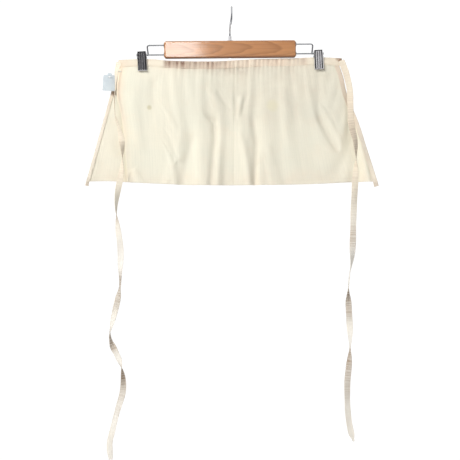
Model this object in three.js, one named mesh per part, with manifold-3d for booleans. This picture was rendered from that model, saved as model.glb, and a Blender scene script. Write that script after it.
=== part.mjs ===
// A short cotton waist apron clipped by its waistband to a wooden clip hanger.
//
// Millimetres, +Z up. The origin is the inside of the hook's crown, where a rail would carry it.
// +X runs along the bar to the wearer's left, -Y is the front. The hook is bent sideways by
// HOOK_LEAN, so the bar, the arms and the apron are centred on x = -HOOK_LEAN.
import * as THREE from "three";
import { mergeVertices } from "three/addons/utils/BufferGeometryUtils.js";
import Module from "manifold-3d";

const wasm = await Module();
wasm.setup();

// ---- Driving dimensions ----
const GAP = 0.3; // clearance between pieces that touch on the real object
const WIRE_R = 1.5; // hook and arm wire
const HOLE_R = WIRE_R + 0.35;

const HOOK_R = 21.5; // centreline of the hook's round part
const HOOK_LEAN = 4; // how far the crown stands to one side of the swivel axis
const HOOK_TIP_DEG = -28; // the round part runs from the tip, at the back...
const HOOK_BACK_DEG = 202; // ...over the crown to the front
const LEAN_TOP = -14; // the sideways bend lies between these two heights
const LEAN_BOTTOM = -46;

const BAR = { length: 263, height: 34, depth: 14, top: -66, corner: 4.5, edge: 2.2 };
const BAR_END = BAR.length / 2;
const BAR_MID = BAR.top - BAR.height / 2;
const SOCKET = { radius: 6.5, depth: 12 }; // under the bar, for the hook's nut

const TOP_LEG_Z = -73.5; // the two legs of each wire arm
const LOW_LEG_Z = -92.6;
const ARM_INSIDE = 54; // length of each leg inside the bar
const ARM_BORE = { radius: 3.1, depth: 88 };
const END_LEG = { top: 166, bottom: 163.6, bend: 5 };
const BUSH = { length: 8, radius: 2.8, flange: 4.2, flangeThick: 0.8 };
const COLLAR = { length: 5, radius: 2.7 };

const CLIP_X = 176.5; // middle of each clip, from the middle of the bar
const CLIP_WIDTH = 18;
const CLIP_LEAN = THREE.MathUtils.degToRad(2.5);
const SHEET = 1; // sheet metal of the clip
const RIB = { places: [-4.2, 0, 4.2], width: 1.8, proud: 0.7 }; // on each front plate
const PIN_DROP = 5.9; // pivot pin below the arm's low leg
const PIN_R = 1;
const JAW_FACE = 3.5; // inner face of a jaw plate, from the cloth's middle plane
const PAD = { width: 15, height: 13, inner: 1.9, top: -18.5 };

const CLOTH = 2.6; // stand-in thickness of the folded skirt
const BAND = { half: 223.5, top: -103.4, height: 15, thick: 3 };
const BAND_BOTTOM = BAND.top - BAND.height;
const SKIRT_BOTTOM = -350;
const FLARE = 68; // how much further out each side edge is at the hem
const BINDING = { width: 10, thick: 3.4, tail: 9 };
const FOLD = { depth: 4, pitch: 106.5 };
const HEM_BACK = 2.4; // the ties weigh on the front, so the hem hangs this far back
const TIE = { width: 12, thick: 1.8 };

const CARD = { x: -241, y: -4.4, hole: -136, width: 25, height: 32, thick: 0.6 };
const CARD_HOLE_R = 1.5;
const FILAMENT_R = 0.45;

// ---- Materials ----
const paint = (color, roughness, metalness = 0) =>
  new THREE.MeshStandardMaterial({ color, roughness, metalness });
const steel = paint(0xb9bcc0, 0.25, 1);
const chrome = paint(0xd5d8dc, 0.1, 1);
const beech = paint(0xc48c64, 0.45);
const cotton = paint(0xf2ecdb, 0.9);
const rubber = paint(0x26262a, 0.8);
const card = paint(0xc4ced2, 0.7);
const nylon = paint(0xe8eaea, 0.4);

// ---- Shape helpers ----
const vec = (x, y, z) => new THREE.Vector3(x, y, z);

function solidOf(geometry) {
  const bare = geometry.clone();
  bare.deleteAttribute("normal");
  bare.deleteAttribute("uv");
  const merged = mergeVertices(bare, 1e-4);
  return new wasm.Manifold(
    new wasm.Mesh({
      numProp: 3,
      vertProperties: merged.attributes.position.array,
      triVerts: new Uint32Array(merged.index.array),
    }),
  );
}

function geometryOf(solid) {
  const mesh = solid.getMesh();
  const geometry = new THREE.BufferGeometry();
  geometry.setAttribute("position", new THREE.BufferAttribute(mesh.vertProperties, 3));
  geometry.setIndex(new THREE.BufferAttribute(mesh.triVerts, 1));
  geometry.computeVertexNormals();
  return geometry;
}

const join = (first, ...more) =>
  geometryOf(more.reduce((solid, extra) => solid.add(solidOf(extra)), solidOf(first)));

const cut = (body, ...tools) =>
  geometryOf(tools.reduce((solid, tool) => solid.subtract(solidOf(tool)), solidOf(body)));

// A round bar between two values on one axis, centred on (0, 0) of the other two.
function rod(axis, from, to, radius, sides = 16) {
  const bar = new THREE.CylinderGeometry(radius, radius, to - from, sides);
  bar.translate(0, (from + to) / 2, 0);
  return turnToAxis(bar, axis);
}

// Turns a shape made along +Y so that it runs along the named axis.
function turnToAxis(geometry, axis) {
  if (axis === "x") geometry.rotateZ(-Math.PI / 2);
  if (axis === "z") geometry.rotateX(Math.PI / 2);
  return geometry;
}

// A turned piece: profile points are [radius, place along the axis], closed on themselves.
function turned(axis, profile, sides = 20) {
  const points = [...profile, profile[0]].map(([radius, along]) => new THREE.Vector2(radius, along));
  return turnToAxis(new THREE.LatheGeometry(points, sides), axis);
}

// A ring between two places on its axis.
const ring = (axis, from, to, inner, outer, sides) =>
  turned(axis, [[inner, from], [outer, from], [outer, to], [inner, to]], sides);

function circle(radius) {
  return new THREE.Shape().absarc(0, 0, radius, 0, 2 * Math.PI);
}

// A tube along a curve. An arc of a shape gets two points for each curve segment.
const tube = (curve, radius, steps, sides = 8) =>
  new THREE.ExtrudeGeometry(circle(radius), {
    extrudePath: curve,
    steps,
    curveSegments: sides / 2,
    bevelEnabled: false,
  });

const smooth = (points) => new THREE.CatmullRomCurve3(points, false, "centripetal");

// A flat outline in the YZ plane, given as [y, z] points, made solid between two x values.
function slab(outline, from, to) {
  const isShape = outline instanceof THREE.Shape;
  const shape = isShape ? outline : new THREE.Shape(outline.map(([y, z]) => new THREE.Vector2(y, z)));
  const body = new THREE.ExtrudeGeometry(shape, {
    depth: to - from,
    bevelEnabled: false,
    curveSegments: 8,
  });
  body.translate(0, 0, from);
  // Shape x becomes Y, shape y becomes Z and the extrusion becomes X.
  body.applyMatrix4(new THREE.Matrix4().makeBasis(vec(0, 1, 0), vec(0, 0, 1), vec(1, 0, 0)));
  return body;
}

function add(group, name, geometry, material, place = vec(0, 0, 0)) {
  const mesh = new THREE.Mesh(geometry, material);
  mesh.name = name;
  mesh.position.copy(place);
  group.add(mesh);
  return mesh;
}

const sides = { left: -1, right: 1 };

// ---- Hook ----
// The wire leaves the nut under the bar, climbs through the bar and the ferrule, swings out to the
// front, goes over the crown and ends in a tip at the back.
function hookCurve() {
  const middle = WIRE_R - HOOK_R;
  const lean = (z) => HOOK_LEAN * THREE.MathUtils.smoothstep(z, LEAN_BOTTOM, LEAN_TOP);
  const onRound = (degrees) => {
    const angle = THREE.MathUtils.degToRad(degrees);
    return [HOOK_R * Math.cos(angle), middle + HOOK_R * Math.sin(angle)];
  };
  const [frontY, frontZ] = onRound(HOOK_BACK_DEG);
  const neck = new THREE.CubicBezierCurve(
    new THREE.Vector2(0, -56),
    new THREE.Vector2(0, -45),
    new THREE.Vector2(frontY + 6, frontZ - 13),
    new THREE.Vector2(frontY, frontZ),
  );
  const route = [[0, BAR.top - BAR.height + 2.5], [0, -80], [0, -66]];
  route.push(...neck.getPoints(6).map((p) => [p.x, p.y]));
  for (let degrees = HOOK_BACK_DEG - 16; degrees > HOOK_TIP_DEG; degrees -= 16) {
    route.push(onRound(degrees));
  }
  route.push(onRound(HOOK_TIP_DEG));
  return smooth(route.map(([y, z]) => vec(lean(z), y, z)));
}

function addHook(group) {
  const underBar = BAR.top - BAR.height;
  const socketTop = underBar + SOCKET.depth;
  add(group, "hook_wire", tube(hookCurve(), WIRE_R, 66), chrome);
  const washerTop = socketTop - GAP;
  add(group, "hook_washer", ring("z", washerTop - 1, washerTop, HOLE_R, 5.6), steel);
  const nutTop = washerTop - 1 - GAP;
  add(group, "hook_nut", ring("z", nutTop - 4.5, nutTop, HOLE_R, 4.6, 6), steel);
}

// ---- Bar ----
function addBar(group) {
  const { length, height, depth, corner, edge } = BAR;
  const x = length / 2 - edge;
  const z = height / 2 - edge;
  const outline = new THREE.Shape();
  const corners = [[x, z, 0], [-x, z, 1], [-x, -z, 2], [x, -z, 3]];
  for (const [cx, cz, quarter] of corners) {
    const start = (quarter * Math.PI) / 2;
    const inset = corner - edge;
    const [ox, oz] = [cx - Math.sign(cx) * inset, cz - Math.sign(cz) * inset];
    outline.absarc(ox, oz, inset, start, start + Math.PI / 2);
  }
  const block = new THREE.ExtrudeGeometry(outline, {
    depth: depth - 2 * edge,
    bevelSize: edge,
    bevelThickness: edge,
    bevelSegments: 3,
    curveSegments: 3,
  });
  block.translate(0, 0, -depth / 2 + edge);
  block.rotateX(Math.PI / 2);
  block.translate(0, 0, BAR_MID);

  const underBar = BAR.top - height;
  const tools = [
    rod("z", underBar - 1, BAR.top + 1, HOLE_R),
    rod("z", underBar - 1, underBar + SOCKET.depth, SOCKET.radius, 24),
  ];
  for (const side of Object.values(sides)) {
    for (const legZ of [TOP_LEG_Z, LOW_LEG_Z]) {
      const bore = rod("x", BAR_END - ARM_BORE.depth, BAR_END + 1, ARM_BORE.radius);
      if (side < 0) bore.rotateZ(Math.PI);
      bore.translate(0, 0, legZ);
      tools.push(bore);
    }
  }
  add(group, "hanger_bar", cut(block, ...tools), beech);

  const ferrule = turned("z", [
    [HOLE_R, BAR.top + GAP],
    [5.4, BAR.top + GAP],
    [5.4, BAR.top + 1.2],
    [3, BAR.top + 1.8],
    [3, BAR.top + 8.5],
    [2.6, BAR.top + 9.5],
    [HOLE_R, BAR.top + 9.5],
  ]);
  add(group, "hook_ferrule", ferrule, chrome);
}

// ---- Wire arms, with the bushes that guide them and the collars that keep them in ----
function addArm(group, name, side) {
  const inner = BAR_END - ARM_INSIDE;
  const { top, bottom, bend } = END_LEG;
  const path = new THREE.CurvePath();
  const slope = (top - bottom) / (TOP_LEG_Z - LOW_LEG_Z);
  const corner = vec(side * top, 0, TOP_LEG_Z);
  const before = vec(side * (top - bend), 0, TOP_LEG_Z);
  const after = vec(side * (top - slope * bend), 0, TOP_LEG_Z - bend);
  path.add(new THREE.LineCurve3(vec(side * inner, 0, TOP_LEG_Z), before));
  path.add(new THREE.QuadraticBezierCurve3(before, corner, after));
  path.add(new THREE.LineCurve3(after, vec(side * bottom, 0, LOW_LEG_Z)));
  const axleEnd = CLIP_X + CLIP_WIDTH / 2 + 2;
  const lowLeg = rod("x", inner, axleEnd, WIRE_R, 12);
  if (side < 0) lowLeg.rotateZ(Math.PI);
  lowLeg.translate(0, 0, LOW_LEG_Z);
  add(group, name + "_arm_wire", join(tube(path, WIRE_R, 44), lowLeg), chrome);

  // Each ring is made on the +X side and turned half round for the left arm.
  const place = (ringPart, label, legZ, material) => {
    if (side < 0) ringPart.rotateZ(Math.PI);
    add(group, label, ringPart, material, vec(0, 0, legZ));
  };
  for (const [level, legZ] of [["upper", TOP_LEG_Z], ["lower", LOW_LEG_Z]]) {
    const collar = ring("x", inner + 0.5, inner + 0.5 + COLLAR.length, HOLE_R, COLLAR.radius, 14);
    place(collar, name + "_" + level + "_stop_collar", legZ, steel);
    const mouth = BAR_END + GAP;
    const bush = turned("x", [
      [HOLE_R, BAR_END - BUSH.length],
      [BUSH.radius, BAR_END - BUSH.length],
      [BUSH.radius, mouth],
      [BUSH.flange, mouth],
      [BUSH.flange, mouth + BUSH.flangeThick],
      [HOLE_R, mouth + BUSH.flangeThick],
    ], 16);
    place(bush, name + "_" + level + "_bush", legZ, steel);
  }
  const washerFrom = CLIP_X + CLIP_WIDTH / 2 + 0.6;
  const washer = ring("x", washerFrom, washerFrom + 0.8, HOLE_R - 0.05, 3.2, 14);
  place(washer, name + "_axle_washer", LOW_LEG_Z, steel);
}

// ---- Clips. Each is made round its own middle, with the arm's low leg through [0, 0] ----
// Inner face of a jaw plate, from the finger tab down to the lip: [distance from cloth, height].
const JAW_PROFILE = [
  [7.4, 6.6],
  [5.2, -4],
  [JAW_FACE, -13],
  [JAW_FACE, -30.6],
  [JAW_FACE + 1.1, -32.4],
];

// A jaw plate's outline in YZ, front = -1 or back = +1, between two distances off the inner face.
function plateOutline(face, near, far, from = 0, to = JAW_PROFILE.length) {
  const points = JAW_PROFILE.slice(from, to);
  const outline = [
    ...points.map(([y, z]) => [face * (y + near), z]),
    ...points.reverse().map(([y, z]) => [face * (y + far), z]),
  ];
  return face > 0 ? outline.reverse() : outline;
}

// A side ear: a flat tongue from the plate to a round nose about the pivot pin, with its holes.
function ear(face, reach, top, bottom, holes) {
  const nose = new THREE.Shape();
  const wall = face * 5.4;
  nose.moveTo(wall, bottom);
  nose.lineTo(wall + face * 0.4, top);
  nose.lineTo(-face * (reach - 1.4), top);
  nose.lineTo(-face * reach, top - 1.4);
  nose.lineTo(-face * reach, bottom + 1.4);
  nose.lineTo(-face * (reach - 1.4), bottom);
  nose.closePath();
  for (const [z, radius] of holes) {
    nose.holes.push(new THREE.Path().absarc(0, z, radius, 0, 2 * Math.PI));
  }
  return nose;
}

function springCurve() {
  const turns = 4.5;
  const perTurn = 10;
  const coilR = 2.1;
  const half = 4.6;
  const points = [vec(-half, -5.3, -PIN_DROP + 7), vec(-half, -3.4, -PIN_DROP + 3.2)];
  for (let i = 0; i <= turns * perTurn; i++) {
    const angle = Math.PI + (2 * Math.PI * i) / perTurn;
    const x = -half + (2 * half * i) / (turns * perTurn);
    points.push(vec(x, coilR * Math.cos(angle), -PIN_DROP + coilR * Math.sin(angle)));
  }
  points.push(vec(half, 3.4, -PIN_DROP + 3.2), vec(half, 5.3, -PIN_DROP + 7));
  return smooth(points);
}

function addClip(group, name) {
  const half = CLIP_WIDTH / 2;
  const pinHole = [-PIN_DROP, PIN_R + GAP];
  const axleHole = [0, WIRE_R + 0.8];
  const earPair = (outline, outer) => [
    slab(outline, -outer, SHEET - outer),
    slab(outline, outer - SHEET, outer),
  ];

  const backEars = earPair(ear(1, 2.9, 3.6, -PIN_DROP - 3.4, [axleHole, pinHole]), half);
  const back = slab(plateOutline(1, 0, SHEET), -half, half);
  add(group, name + "_clip_back_plate", join(back, ...backEars), chrome);

  const frontEars = earPair(ear(-1, 2.6, -PIN_DROP + 2.7, -PIN_DROP - 2.7, [pinHole]), half - 1.5);
  const front = slab(plateOutline(-1, 0, SHEET), -half, half);
  const ribOutline = plateOutline(-1, SHEET / 2, SHEET + RIB.proud, 0, 4);
  const ribs = RIB.places.map((x) => slab(ribOutline, x - RIB.width / 2, x + RIB.width / 2));
  add(group, name + "_clip_front_plate", join(front, ...frontEars, ...ribs), chrome);

  const pin = turned("x", [
    [0, -half - 1.1],
    [1.8, -half - 1.1],
    [1.8, -half - GAP],
    [PIN_R, -half - GAP],
    [PIN_R, half + GAP],
    [1.8, half + GAP],
    [1.8, half + 1.1],
    [0, half + 1.1],
  ], 12);
  add(group, name + "_clip_pin", pin, steel, vec(0, 0, -PIN_DROP));
  add(group, name + "_clip_spring", tube(springCurve(), 0.4, 84, 6), steel);

  const padThick = JAW_FACE - GAP - PAD.inner;
  for (const [label, face] of [["front", -1], ["back", 1]]) {
    const pad = new THREE.BoxGeometry(PAD.width, padThick, PAD.height);
    const place = vec(0, face * (PAD.inner + padThick / 2), PAD.top - PAD.height / 2);
    add(group, name + "_clip_" + label + "_pad", pad, rubber, place);
  }
}

// ---- Apron ----
// Where a point of the flat skirt hangs: the sides flare out and the folds deepen to the hem.
function drape(flat) {
  const drop = THREE.MathUtils.clamp((BAND_BOTTOM - flat.z) / (BAND_BOTTOM - SKIRT_BOTTOM), 0, 1.05);
  const wave = Math.sin((2 * Math.PI * flat.x) / FOLD.pitch);
  flat.y += (FOLD.depth * wave + HEM_BACK) * drop;
  flat.x *= 1 + (FLARE / BAND.half) * drop;
  return flat;
}

// A flat cloth panel between two x values and two heights, draped.
function panel(from, to, top, bottom, thick, columns, rows) {
  const cloth = new THREE.BoxGeometry(to - from, thick, top - bottom, columns, 1, rows);
  cloth.translate((from + to) / 2, 0, (top + bottom) / 2);
  const places = cloth.attributes.position;
  const point = new THREE.Vector3();
  for (let i = 0; i < places.count; i++) {
    drape(point.fromBufferAttribute(places, i));
    places.setXYZ(i, point.x, point.y, point.z);
  }
  return cloth;
}

// The middle line of each tie, from the waistband's end to its free end.
const TIE_ROUTES = {
  left: [
    [-222, -4.0, -107], [-224, -4.6, -116], [-226, -10.6, -127], [-228.5, -11.8, -158],
    [-231, -11.6, -178], [-230.5, -11.6, -210], [-225, -12.5, -230], [-219.5, -13.5, -252],
    [-216, -14.0, -276], [-217, -14.0, -320], [-226, -14.0, -366], [-229.5, -13.0, -400],
    [-226, -12.0, -440], [-221.5, -11.5, -482], [-222.5, -10.5, -524], [-223.5, -9.5, -554],
    [-229, -8.5, -584], [-237, -8.0, -616], [-244.5, -8.0, -646], [-242, -9.0, -666],
    [-233, -9.5, -686], [-224.5, -10.0, -706], [-219, -10.0, -736], [-220, -9.5, -766],
    [-230, -9.0, -800], [-240, -8.5, -838], [-247, -8.0, -868], [-245, -8.0, -900],
  ],
  right: [
    [222, -4.0, -107], [226, -4.8, -118], [232, -6.5, -136], [238, -8.5, -166],
    [239, -10.5, -200], [240.5, -12.0, -236], [248, -13.0, -270], [249, -13.5, -306],
    [247, -14.0, -342], [245, -13.5, -380], [243, -12.5, -416], [241.5, -11.5, -464],
    [239.5, -11.0, -502], [234, -10.0, -538], [231.5, -9.5, -574], [233, -9.0, -618],
    [234.5, -9.0, -650], [233.5, -9.0, -690], [231, -9.5, -722], [228, -9.5, -752],
    [228, -9.0, -794], [230, -8.5, -822], [234, -8.0, -846], [240, -8.0, -868],
  ],
};

function tieTape(route) {
  const outline = new THREE.Shape();
  const end = TIE.width / 2 - TIE.thick / 2;
  outline.absarc(end, 0, TIE.thick / 2, -Math.PI / 2, Math.PI / 2);
  outline.absarc(-end, 0, TIE.thick / 2, Math.PI / 2, (3 * Math.PI) / 2);
  const flat = new THREE.Shape(outline.getPoints(2).map((p) => new THREE.Vector2(p.y, p.x)));
  return new THREE.ExtrudeGeometry(flat, {
    extrudePath: smooth(route.map(([x, y, z]) => vec(x, y, z))),
    steps: 60,
    bevelEnabled: false,
  });
}

function addApron(group) {
  const { half, top, height, thick } = BAND;
  const band = new THREE.BoxGeometry(2 * half, thick, height);
  add(group, "waistband", band, cotton, vec(0, 0, top - height / 2));

  const clothTop = BAND_BOTTOM - GAP;
  const edge = half - BINDING.width;
  const clothBottom = SKIRT_BOTTOM;
  for (const [name, side] of Object.entries(sides)) {
    const [from, to] = [GAP / 2, edge - GAP].map((x) => x * side).sort((a, b) => a - b);
    const skirt = panel(from, to, clothTop, clothBottom, CLOTH, 24, 7);
    add(group, name + "_skirt_panel", skirt, cotton);
    const [inner, outer] = [edge, half].map((x) => x * side).sort((a, b) => a - b);
    let binding = panel(inner, outer, clothTop, clothBottom - BINDING.tail, BINDING.thick, 2, 10);
    if (side < 0) binding = cut(binding, fastenerHole());
    add(group, name + "_side_binding", binding, cotton);
    add(group, name + "_tie", tieTape(TIE_ROUTES[name]), cotton);
  }
}

// ---- Hang tag and the nylon fastener that holds it to the left side binding ----
const PIERCE = vec(-221.5, 0, -125); // where the fastener goes through the binding

function fastenerHole() {
  const hole = rod("y", -6, 6, FILAMENT_R + 0.4, 8);
  hole.translate(PIERCE.x, 0, PIERCE.z);
  return hole;
}

function addTag(group) {
  const w = CARD.width / 2;
  const top = 4; // the card's top edge above its hole
  const outline = new THREE.Shape();
  outline.moveTo(-w, top - CARD.height);
  outline.lineTo(w, top - CARD.height);
  outline.lineTo(w, top - 2);
  outline.lineTo(w - 3, top);
  outline.absarc(0, top - 0.5, 4.5, 0.1, Math.PI - 0.1, false);
  outline.lineTo(3 - w, top);
  outline.lineTo(-w, top - 2);
  outline.closePath();
  outline.holes.push(new THREE.Path().absarc(0, 0, CARD_HOLE_R, 0, 2 * Math.PI));
  const sheet = new THREE.ExtrudeGeometry(outline, {
    depth: CARD.thick,
    bevelEnabled: false,
    curveSegments: 6,
  });
  sheet.translate(0, 0, -CARD.thick / 2);
  sheet.rotateX(Math.PI / 2);
  add(group, "hang_tag", sheet, card, vec(CARD.x, CARD.y, CARD.hole));

  const barY = -BINDING.thick / 2 - FILAMENT_R - GAP;
  const through = smooth([
    vec(PIERCE.x, barY, PIERCE.z),
    vec(PIERCE.x, 0, PIERCE.z),
    vec(PIERCE.x - 0.6, 3.2, PIERCE.z - 0.4),
    vec(PIERCE.x - 6, 5, PIERCE.z - 3),
    vec(PIERCE.x - 13, 3.2, PIERCE.z - 7),
    vec(CARD.x + 0.6, -0.5, CARD.hole + 0.6),
    vec(CARD.x, CARD.y, CARD.hole),
    vec(CARD.x, CARD.y - 1.2, CARD.hole),
  ]);
  const clothBar = rod("x", -3.5, 3.5, 0.6, 8);
  clothBar.translate(PIERCE.x, barY, PIERCE.z);
  const tagBar = rod("x", -4, 4, 0.6, 8);
  tagBar.translate(CARD.x, CARD.y - 1.4, CARD.hole);
  add(group, "tag_fastener", join(tube(through, FILAMENT_R, 26, 6), clothBar, tagBar), nylon);
}

// ---- Assembly ----
const object = new THREE.Group();
const centred = new THREE.Group();
centred.position.x = -HOOK_LEAN;
object.add(centred);

addHook(centred);
addBar(centred);
for (const [name, side] of Object.entries(sides)) {
  addArm(centred, name, side);
  const clip = new THREE.Group();
  clip.position.set(side * CLIP_X, 0, LOW_LEG_Z);
  clip.rotation.y = -CLIP_LEAN;
  centred.add(clip);
  addClip(clip, name);
}
addApron(centred);
addTag(centred);

export default object;
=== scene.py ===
# A short cotton waist apron, clipped by its waistband to a wooden clip hanger, seen from the front.
# Everything is in metres in the part's frame: +X along the bar, -Y the front, +Z up, and the origin
# at the inside of the hook's crown. Lengths written with MM are millimetres.
import math

import bmesh
import bpy
import numpy as np
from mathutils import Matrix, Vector


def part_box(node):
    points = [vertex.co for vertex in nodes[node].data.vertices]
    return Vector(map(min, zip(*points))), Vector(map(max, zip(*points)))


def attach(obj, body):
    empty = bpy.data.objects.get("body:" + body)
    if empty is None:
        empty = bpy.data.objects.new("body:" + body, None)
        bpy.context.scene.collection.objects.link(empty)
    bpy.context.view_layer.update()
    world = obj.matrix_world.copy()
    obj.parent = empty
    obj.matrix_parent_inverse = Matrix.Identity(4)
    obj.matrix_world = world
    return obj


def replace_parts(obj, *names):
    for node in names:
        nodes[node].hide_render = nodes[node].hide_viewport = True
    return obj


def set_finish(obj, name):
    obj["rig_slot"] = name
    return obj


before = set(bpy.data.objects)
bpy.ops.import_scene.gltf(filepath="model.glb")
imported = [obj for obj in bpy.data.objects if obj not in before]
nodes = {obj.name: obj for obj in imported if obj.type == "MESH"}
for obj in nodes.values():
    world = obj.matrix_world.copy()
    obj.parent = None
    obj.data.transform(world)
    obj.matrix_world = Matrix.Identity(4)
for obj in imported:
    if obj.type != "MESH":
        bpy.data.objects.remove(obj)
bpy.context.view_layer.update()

MM = 0.001
BAR_LOW, BAR_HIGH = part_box("hanger_bar")
BAND_LOW, BAND_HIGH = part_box("waistband")
MID_X = (BAR_LOW.x + BAR_HIGH.x) / 2  # the bar, the arms and the apron are centred on this x
BAND_BOTTOM = BAND_LOW.z
RNG = np.random.default_rng(11)

# ---- Camera, square on to the front and level with the middle of the ties ----
CAMERA_PLACE = (-0.00715, -2.6, -0.444)
CAMERA_LENS = 101.7  # millimetres, on a 36 mm sensor
CAMERA_ROLL = 0.0087


def add_camera():
    data = bpy.data.cameras.new("camera")
    data.lens = CAMERA_LENS
    data.sensor_width = 36
    data.clip_start, data.clip_end = 0.05, 60
    camera = bpy.data.objects.new("camera", data)
    camera.location = CAMERA_PLACE
    camera.rotation_euler = (math.pi / 2, CAMERA_ROLL, 0)
    bpy.context.scene.collection.objects.link(camera)
    bpy.context.scene.camera = camera


add_camera()


# ---- Curves and meshes ----
def unit(vectors):
    return vectors / np.maximum(np.linalg.norm(vectors, axis=-1, keepdims=True), 1e-12)


def through(knots, x):
    """The value at x of a smooth curve through (place, value) knots."""
    places, values = np.array(knots, float).T
    slopes = np.gradient(values, places)
    i = np.clip(np.searchsorted(places, x) - 1, 0, len(places) - 2)
    step = places[i + 1] - places[i]
    t = np.clip((x - places[i]) / step, 0, 1)
    start, end = values[i], values[i + 1]
    return (
        start * (1 + 2 * t) * (1 - t) ** 2
        + slopes[i] * step * t * (1 - t) ** 2
        + end * t * t * (3 - 2 * t)
        - slopes[i + 1] * step * t * t * (1 - t)
    )


def smoothstep(low, high, x):
    """0 up to low, easing to 1 at high."""
    t = np.clip((x - low) / (high - low), 0, 1)
    return t * t * (3 - 2 * t)


def falling(low, high, x):
    """1 up to low, easing to 0 at high."""
    return 1 - smoothstep(low, high, x)


def bell(offset, width):
    """1 where offset is 0, falling smoothly to nothing a few widths away."""
    return np.exp(-((offset / width) ** 2))


def distances(line):
    """How far along a line each of its points lies."""
    return np.concatenate([[0], np.cumsum(np.linalg.norm(np.diff(line, axis=0), axis=1))])


def smooth_line(points, per_span):
    """A smooth line through points, with per_span steps between neighbours."""
    points = np.array(points, float)
    ends = np.vstack([2 * points[0] - points[1], points, 2 * points[-1] - points[-2]])
    t = np.linspace(0, 1, per_span, endpoint=False)[:, None]
    spans = []
    for a, b, c, d in zip(ends, ends[1:], ends[2:], ends[3:]):
        bend = (2 * a - 5 * b + 4 * c - d) * t**2 + (3 * b - a - 3 * c + d) * t**3
        spans.append(0.5 * (2 * b + (c - a) * t + bend))
    return np.vstack([*spans, points[-1:]])


def even_line(line, step):
    """The line again, with its points evenly spaced about step apart."""
    along = distances(line)
    at = np.linspace(0, along[-1], max(2, round(along[-1] / step) + 1))
    return np.stack([np.interp(at, along, line[:, k]) for k in range(3)], axis=1)


def carried_frames(line, across):
    """Two unit vectors square to the line at each point, turning as little as they can."""
    tangents = unit(np.gradient(line, axis=0))
    side, sides = np.array(across, float), []
    for tangent in tangents:
        side = unit(side - tangent * (side @ tangent))
        sides.append(side)
    sides = np.array(sides)
    return tangents, sides, np.cross(tangents, sides)


def object_from(name, points, faces, material, slot, uv=None, smooth=True, tints=None):
    """A mesh object; tints are extra numbers for each point, which the material reads by name."""
    mesh = bpy.data.meshes.new(name)
    mesh.from_pydata(np.asarray(points, float).reshape(-1, 3).tolist(), [], faces)
    for tint, values in (tints or {}).items():
        layer = mesh.attributes.new(tint, "FLOAT", "POINT")
        layer.data.foreach_set("value", np.asarray(values, np.float32).ravel())
    if uv is not None:
        layer = mesh.uv_layers.new(name="cloth")
        corners = np.zeros(len(mesh.loops), np.int32)
        mesh.loops.foreach_get("vertex_index", corners)
        layer.data.foreach_set("uv", np.asarray(uv, np.float32).reshape(-1, 2)[corners].ravel())
    mesh.validate()
    if smooth:
        mesh.shade_smooth()
    else:
        mesh.shade_flat()
    mesh.materials.append(material)
    piece = in_scene(name, mesh)
    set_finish(piece, slot)
    return piece


def in_scene(name, data):
    """A new object in the scene, from a mesh or a light."""
    made = bpy.data.objects.new(name, data)
    bpy.context.scene.collection.objects.link(made)
    return made


def grid_faces(rows, columns, wrap=False):
    """Quads over a grid of rows by columns points, closed round the columns if wrap is set."""
    faces = []
    for a in range(0, (rows - 1) * columns, columns):
        for c in range(columns if wrap else columns - 1):
            d = (c + 1) % columns
            faces.append((a + c, a + d, a + columns + d, a + columns + c))
    return faces


def tube_faces(rings, sides):
    """The wall of a tube of rings, and a flat cap on each end."""
    last = (rings - 1) * sides
    caps = [tuple(range(sides))[::-1], tuple(range(last, last + sides))]
    return grid_faces(rings, sides, wrap=True) + caps


def slab_faces(rows, columns):
    """A slab whose rings are a row of its outer face and then the row of its inner face, reversed."""
    faces = grid_faces(rows, 2 * columns, wrap=True)
    last = (rows - 1) * 2 * columns
    for c in range(columns - 1):
        d = 2 * columns - 1 - c
        faces += [(c, d, d - 1, c + 1), (last + c, last + c + 1, last + d - 1, last + d)]
    return faces


def faced_outward(piece):
    """The piece again, with all its faces turned outward."""
    cleaned = bmesh.new()
    cleaned.from_mesh(piece.data)
    bmesh.ops.recalc_face_normals(cleaned, faces=cleaned.faces)
    cleaned.to_mesh(piece.data)
    cleaned.free()
    return piece


def sweep(name, line, sides, ups, section, material, slot, scale):
    """A closed section, [side, up] points, carried along a line and scaled there, with flat ends."""
    rings = (
        line[:, None]
        + sides[:, None] * (section[:, 0] * scale[:, None])[..., None]
        + ups[:, None] * (section[:, 1] * scale[:, None])[..., None]
    )
    faces = tube_faces(len(line), len(section))
    uv = np.stack(np.broadcast_arrays(distances(section)[None], distances(line)[:, None]), axis=-1)
    return faced_outward(object_from(name, rings, faces, material, slot, uv))


def tilted(points, angle):
    """Points turned about the Y axis, from +X towards +Z."""
    c, s = math.cos(angle), math.sin(angle)
    x, y, z = points.T
    return np.column_stack([c * x - s * z, y, s * x + c * z])


def circle(radius, sides):
    """Points evenly round a circle, as [across, up]."""
    turns = np.arange(sides) * 2 * math.pi / sides
    return np.stack([radius * np.cos(turns), radius * np.sin(turns)], axis=1)


def wire(name, line, radius, across, material, slot, sides=18):
    """A round wire with domed ends."""
    line = np.asarray(line, float)
    first, last = line[0], line[-1]
    tangents = unit(np.gradient(line, axis=0))
    dome = np.radians([84, 60, 30])
    tail = [first - tangents[0] * radius * (math.sin(a) - 1) for a in dome[1:]]
    tip = [last + tangents[-1] * radius * (math.sin(a) - 1) for a in dome[:0:-1]]
    inner = [p for p in line if min(np.linalg.norm(p - first), np.linalg.norm(p - last)) > radius]
    full = np.array([first, *tail, first + tangents[0] * radius, *inner])
    full = np.vstack([full, last - tangents[-1] * radius, *tip, last])
    scale = np.ones(len(full))
    scale[:3] = np.cos(dome)
    scale[-3:] = np.cos(dome[::-1])
    _, side, up = carried_frames(full, across)
    return sweep(name, full, side, up, circle(radius, sides), material, slot, scale)


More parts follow.
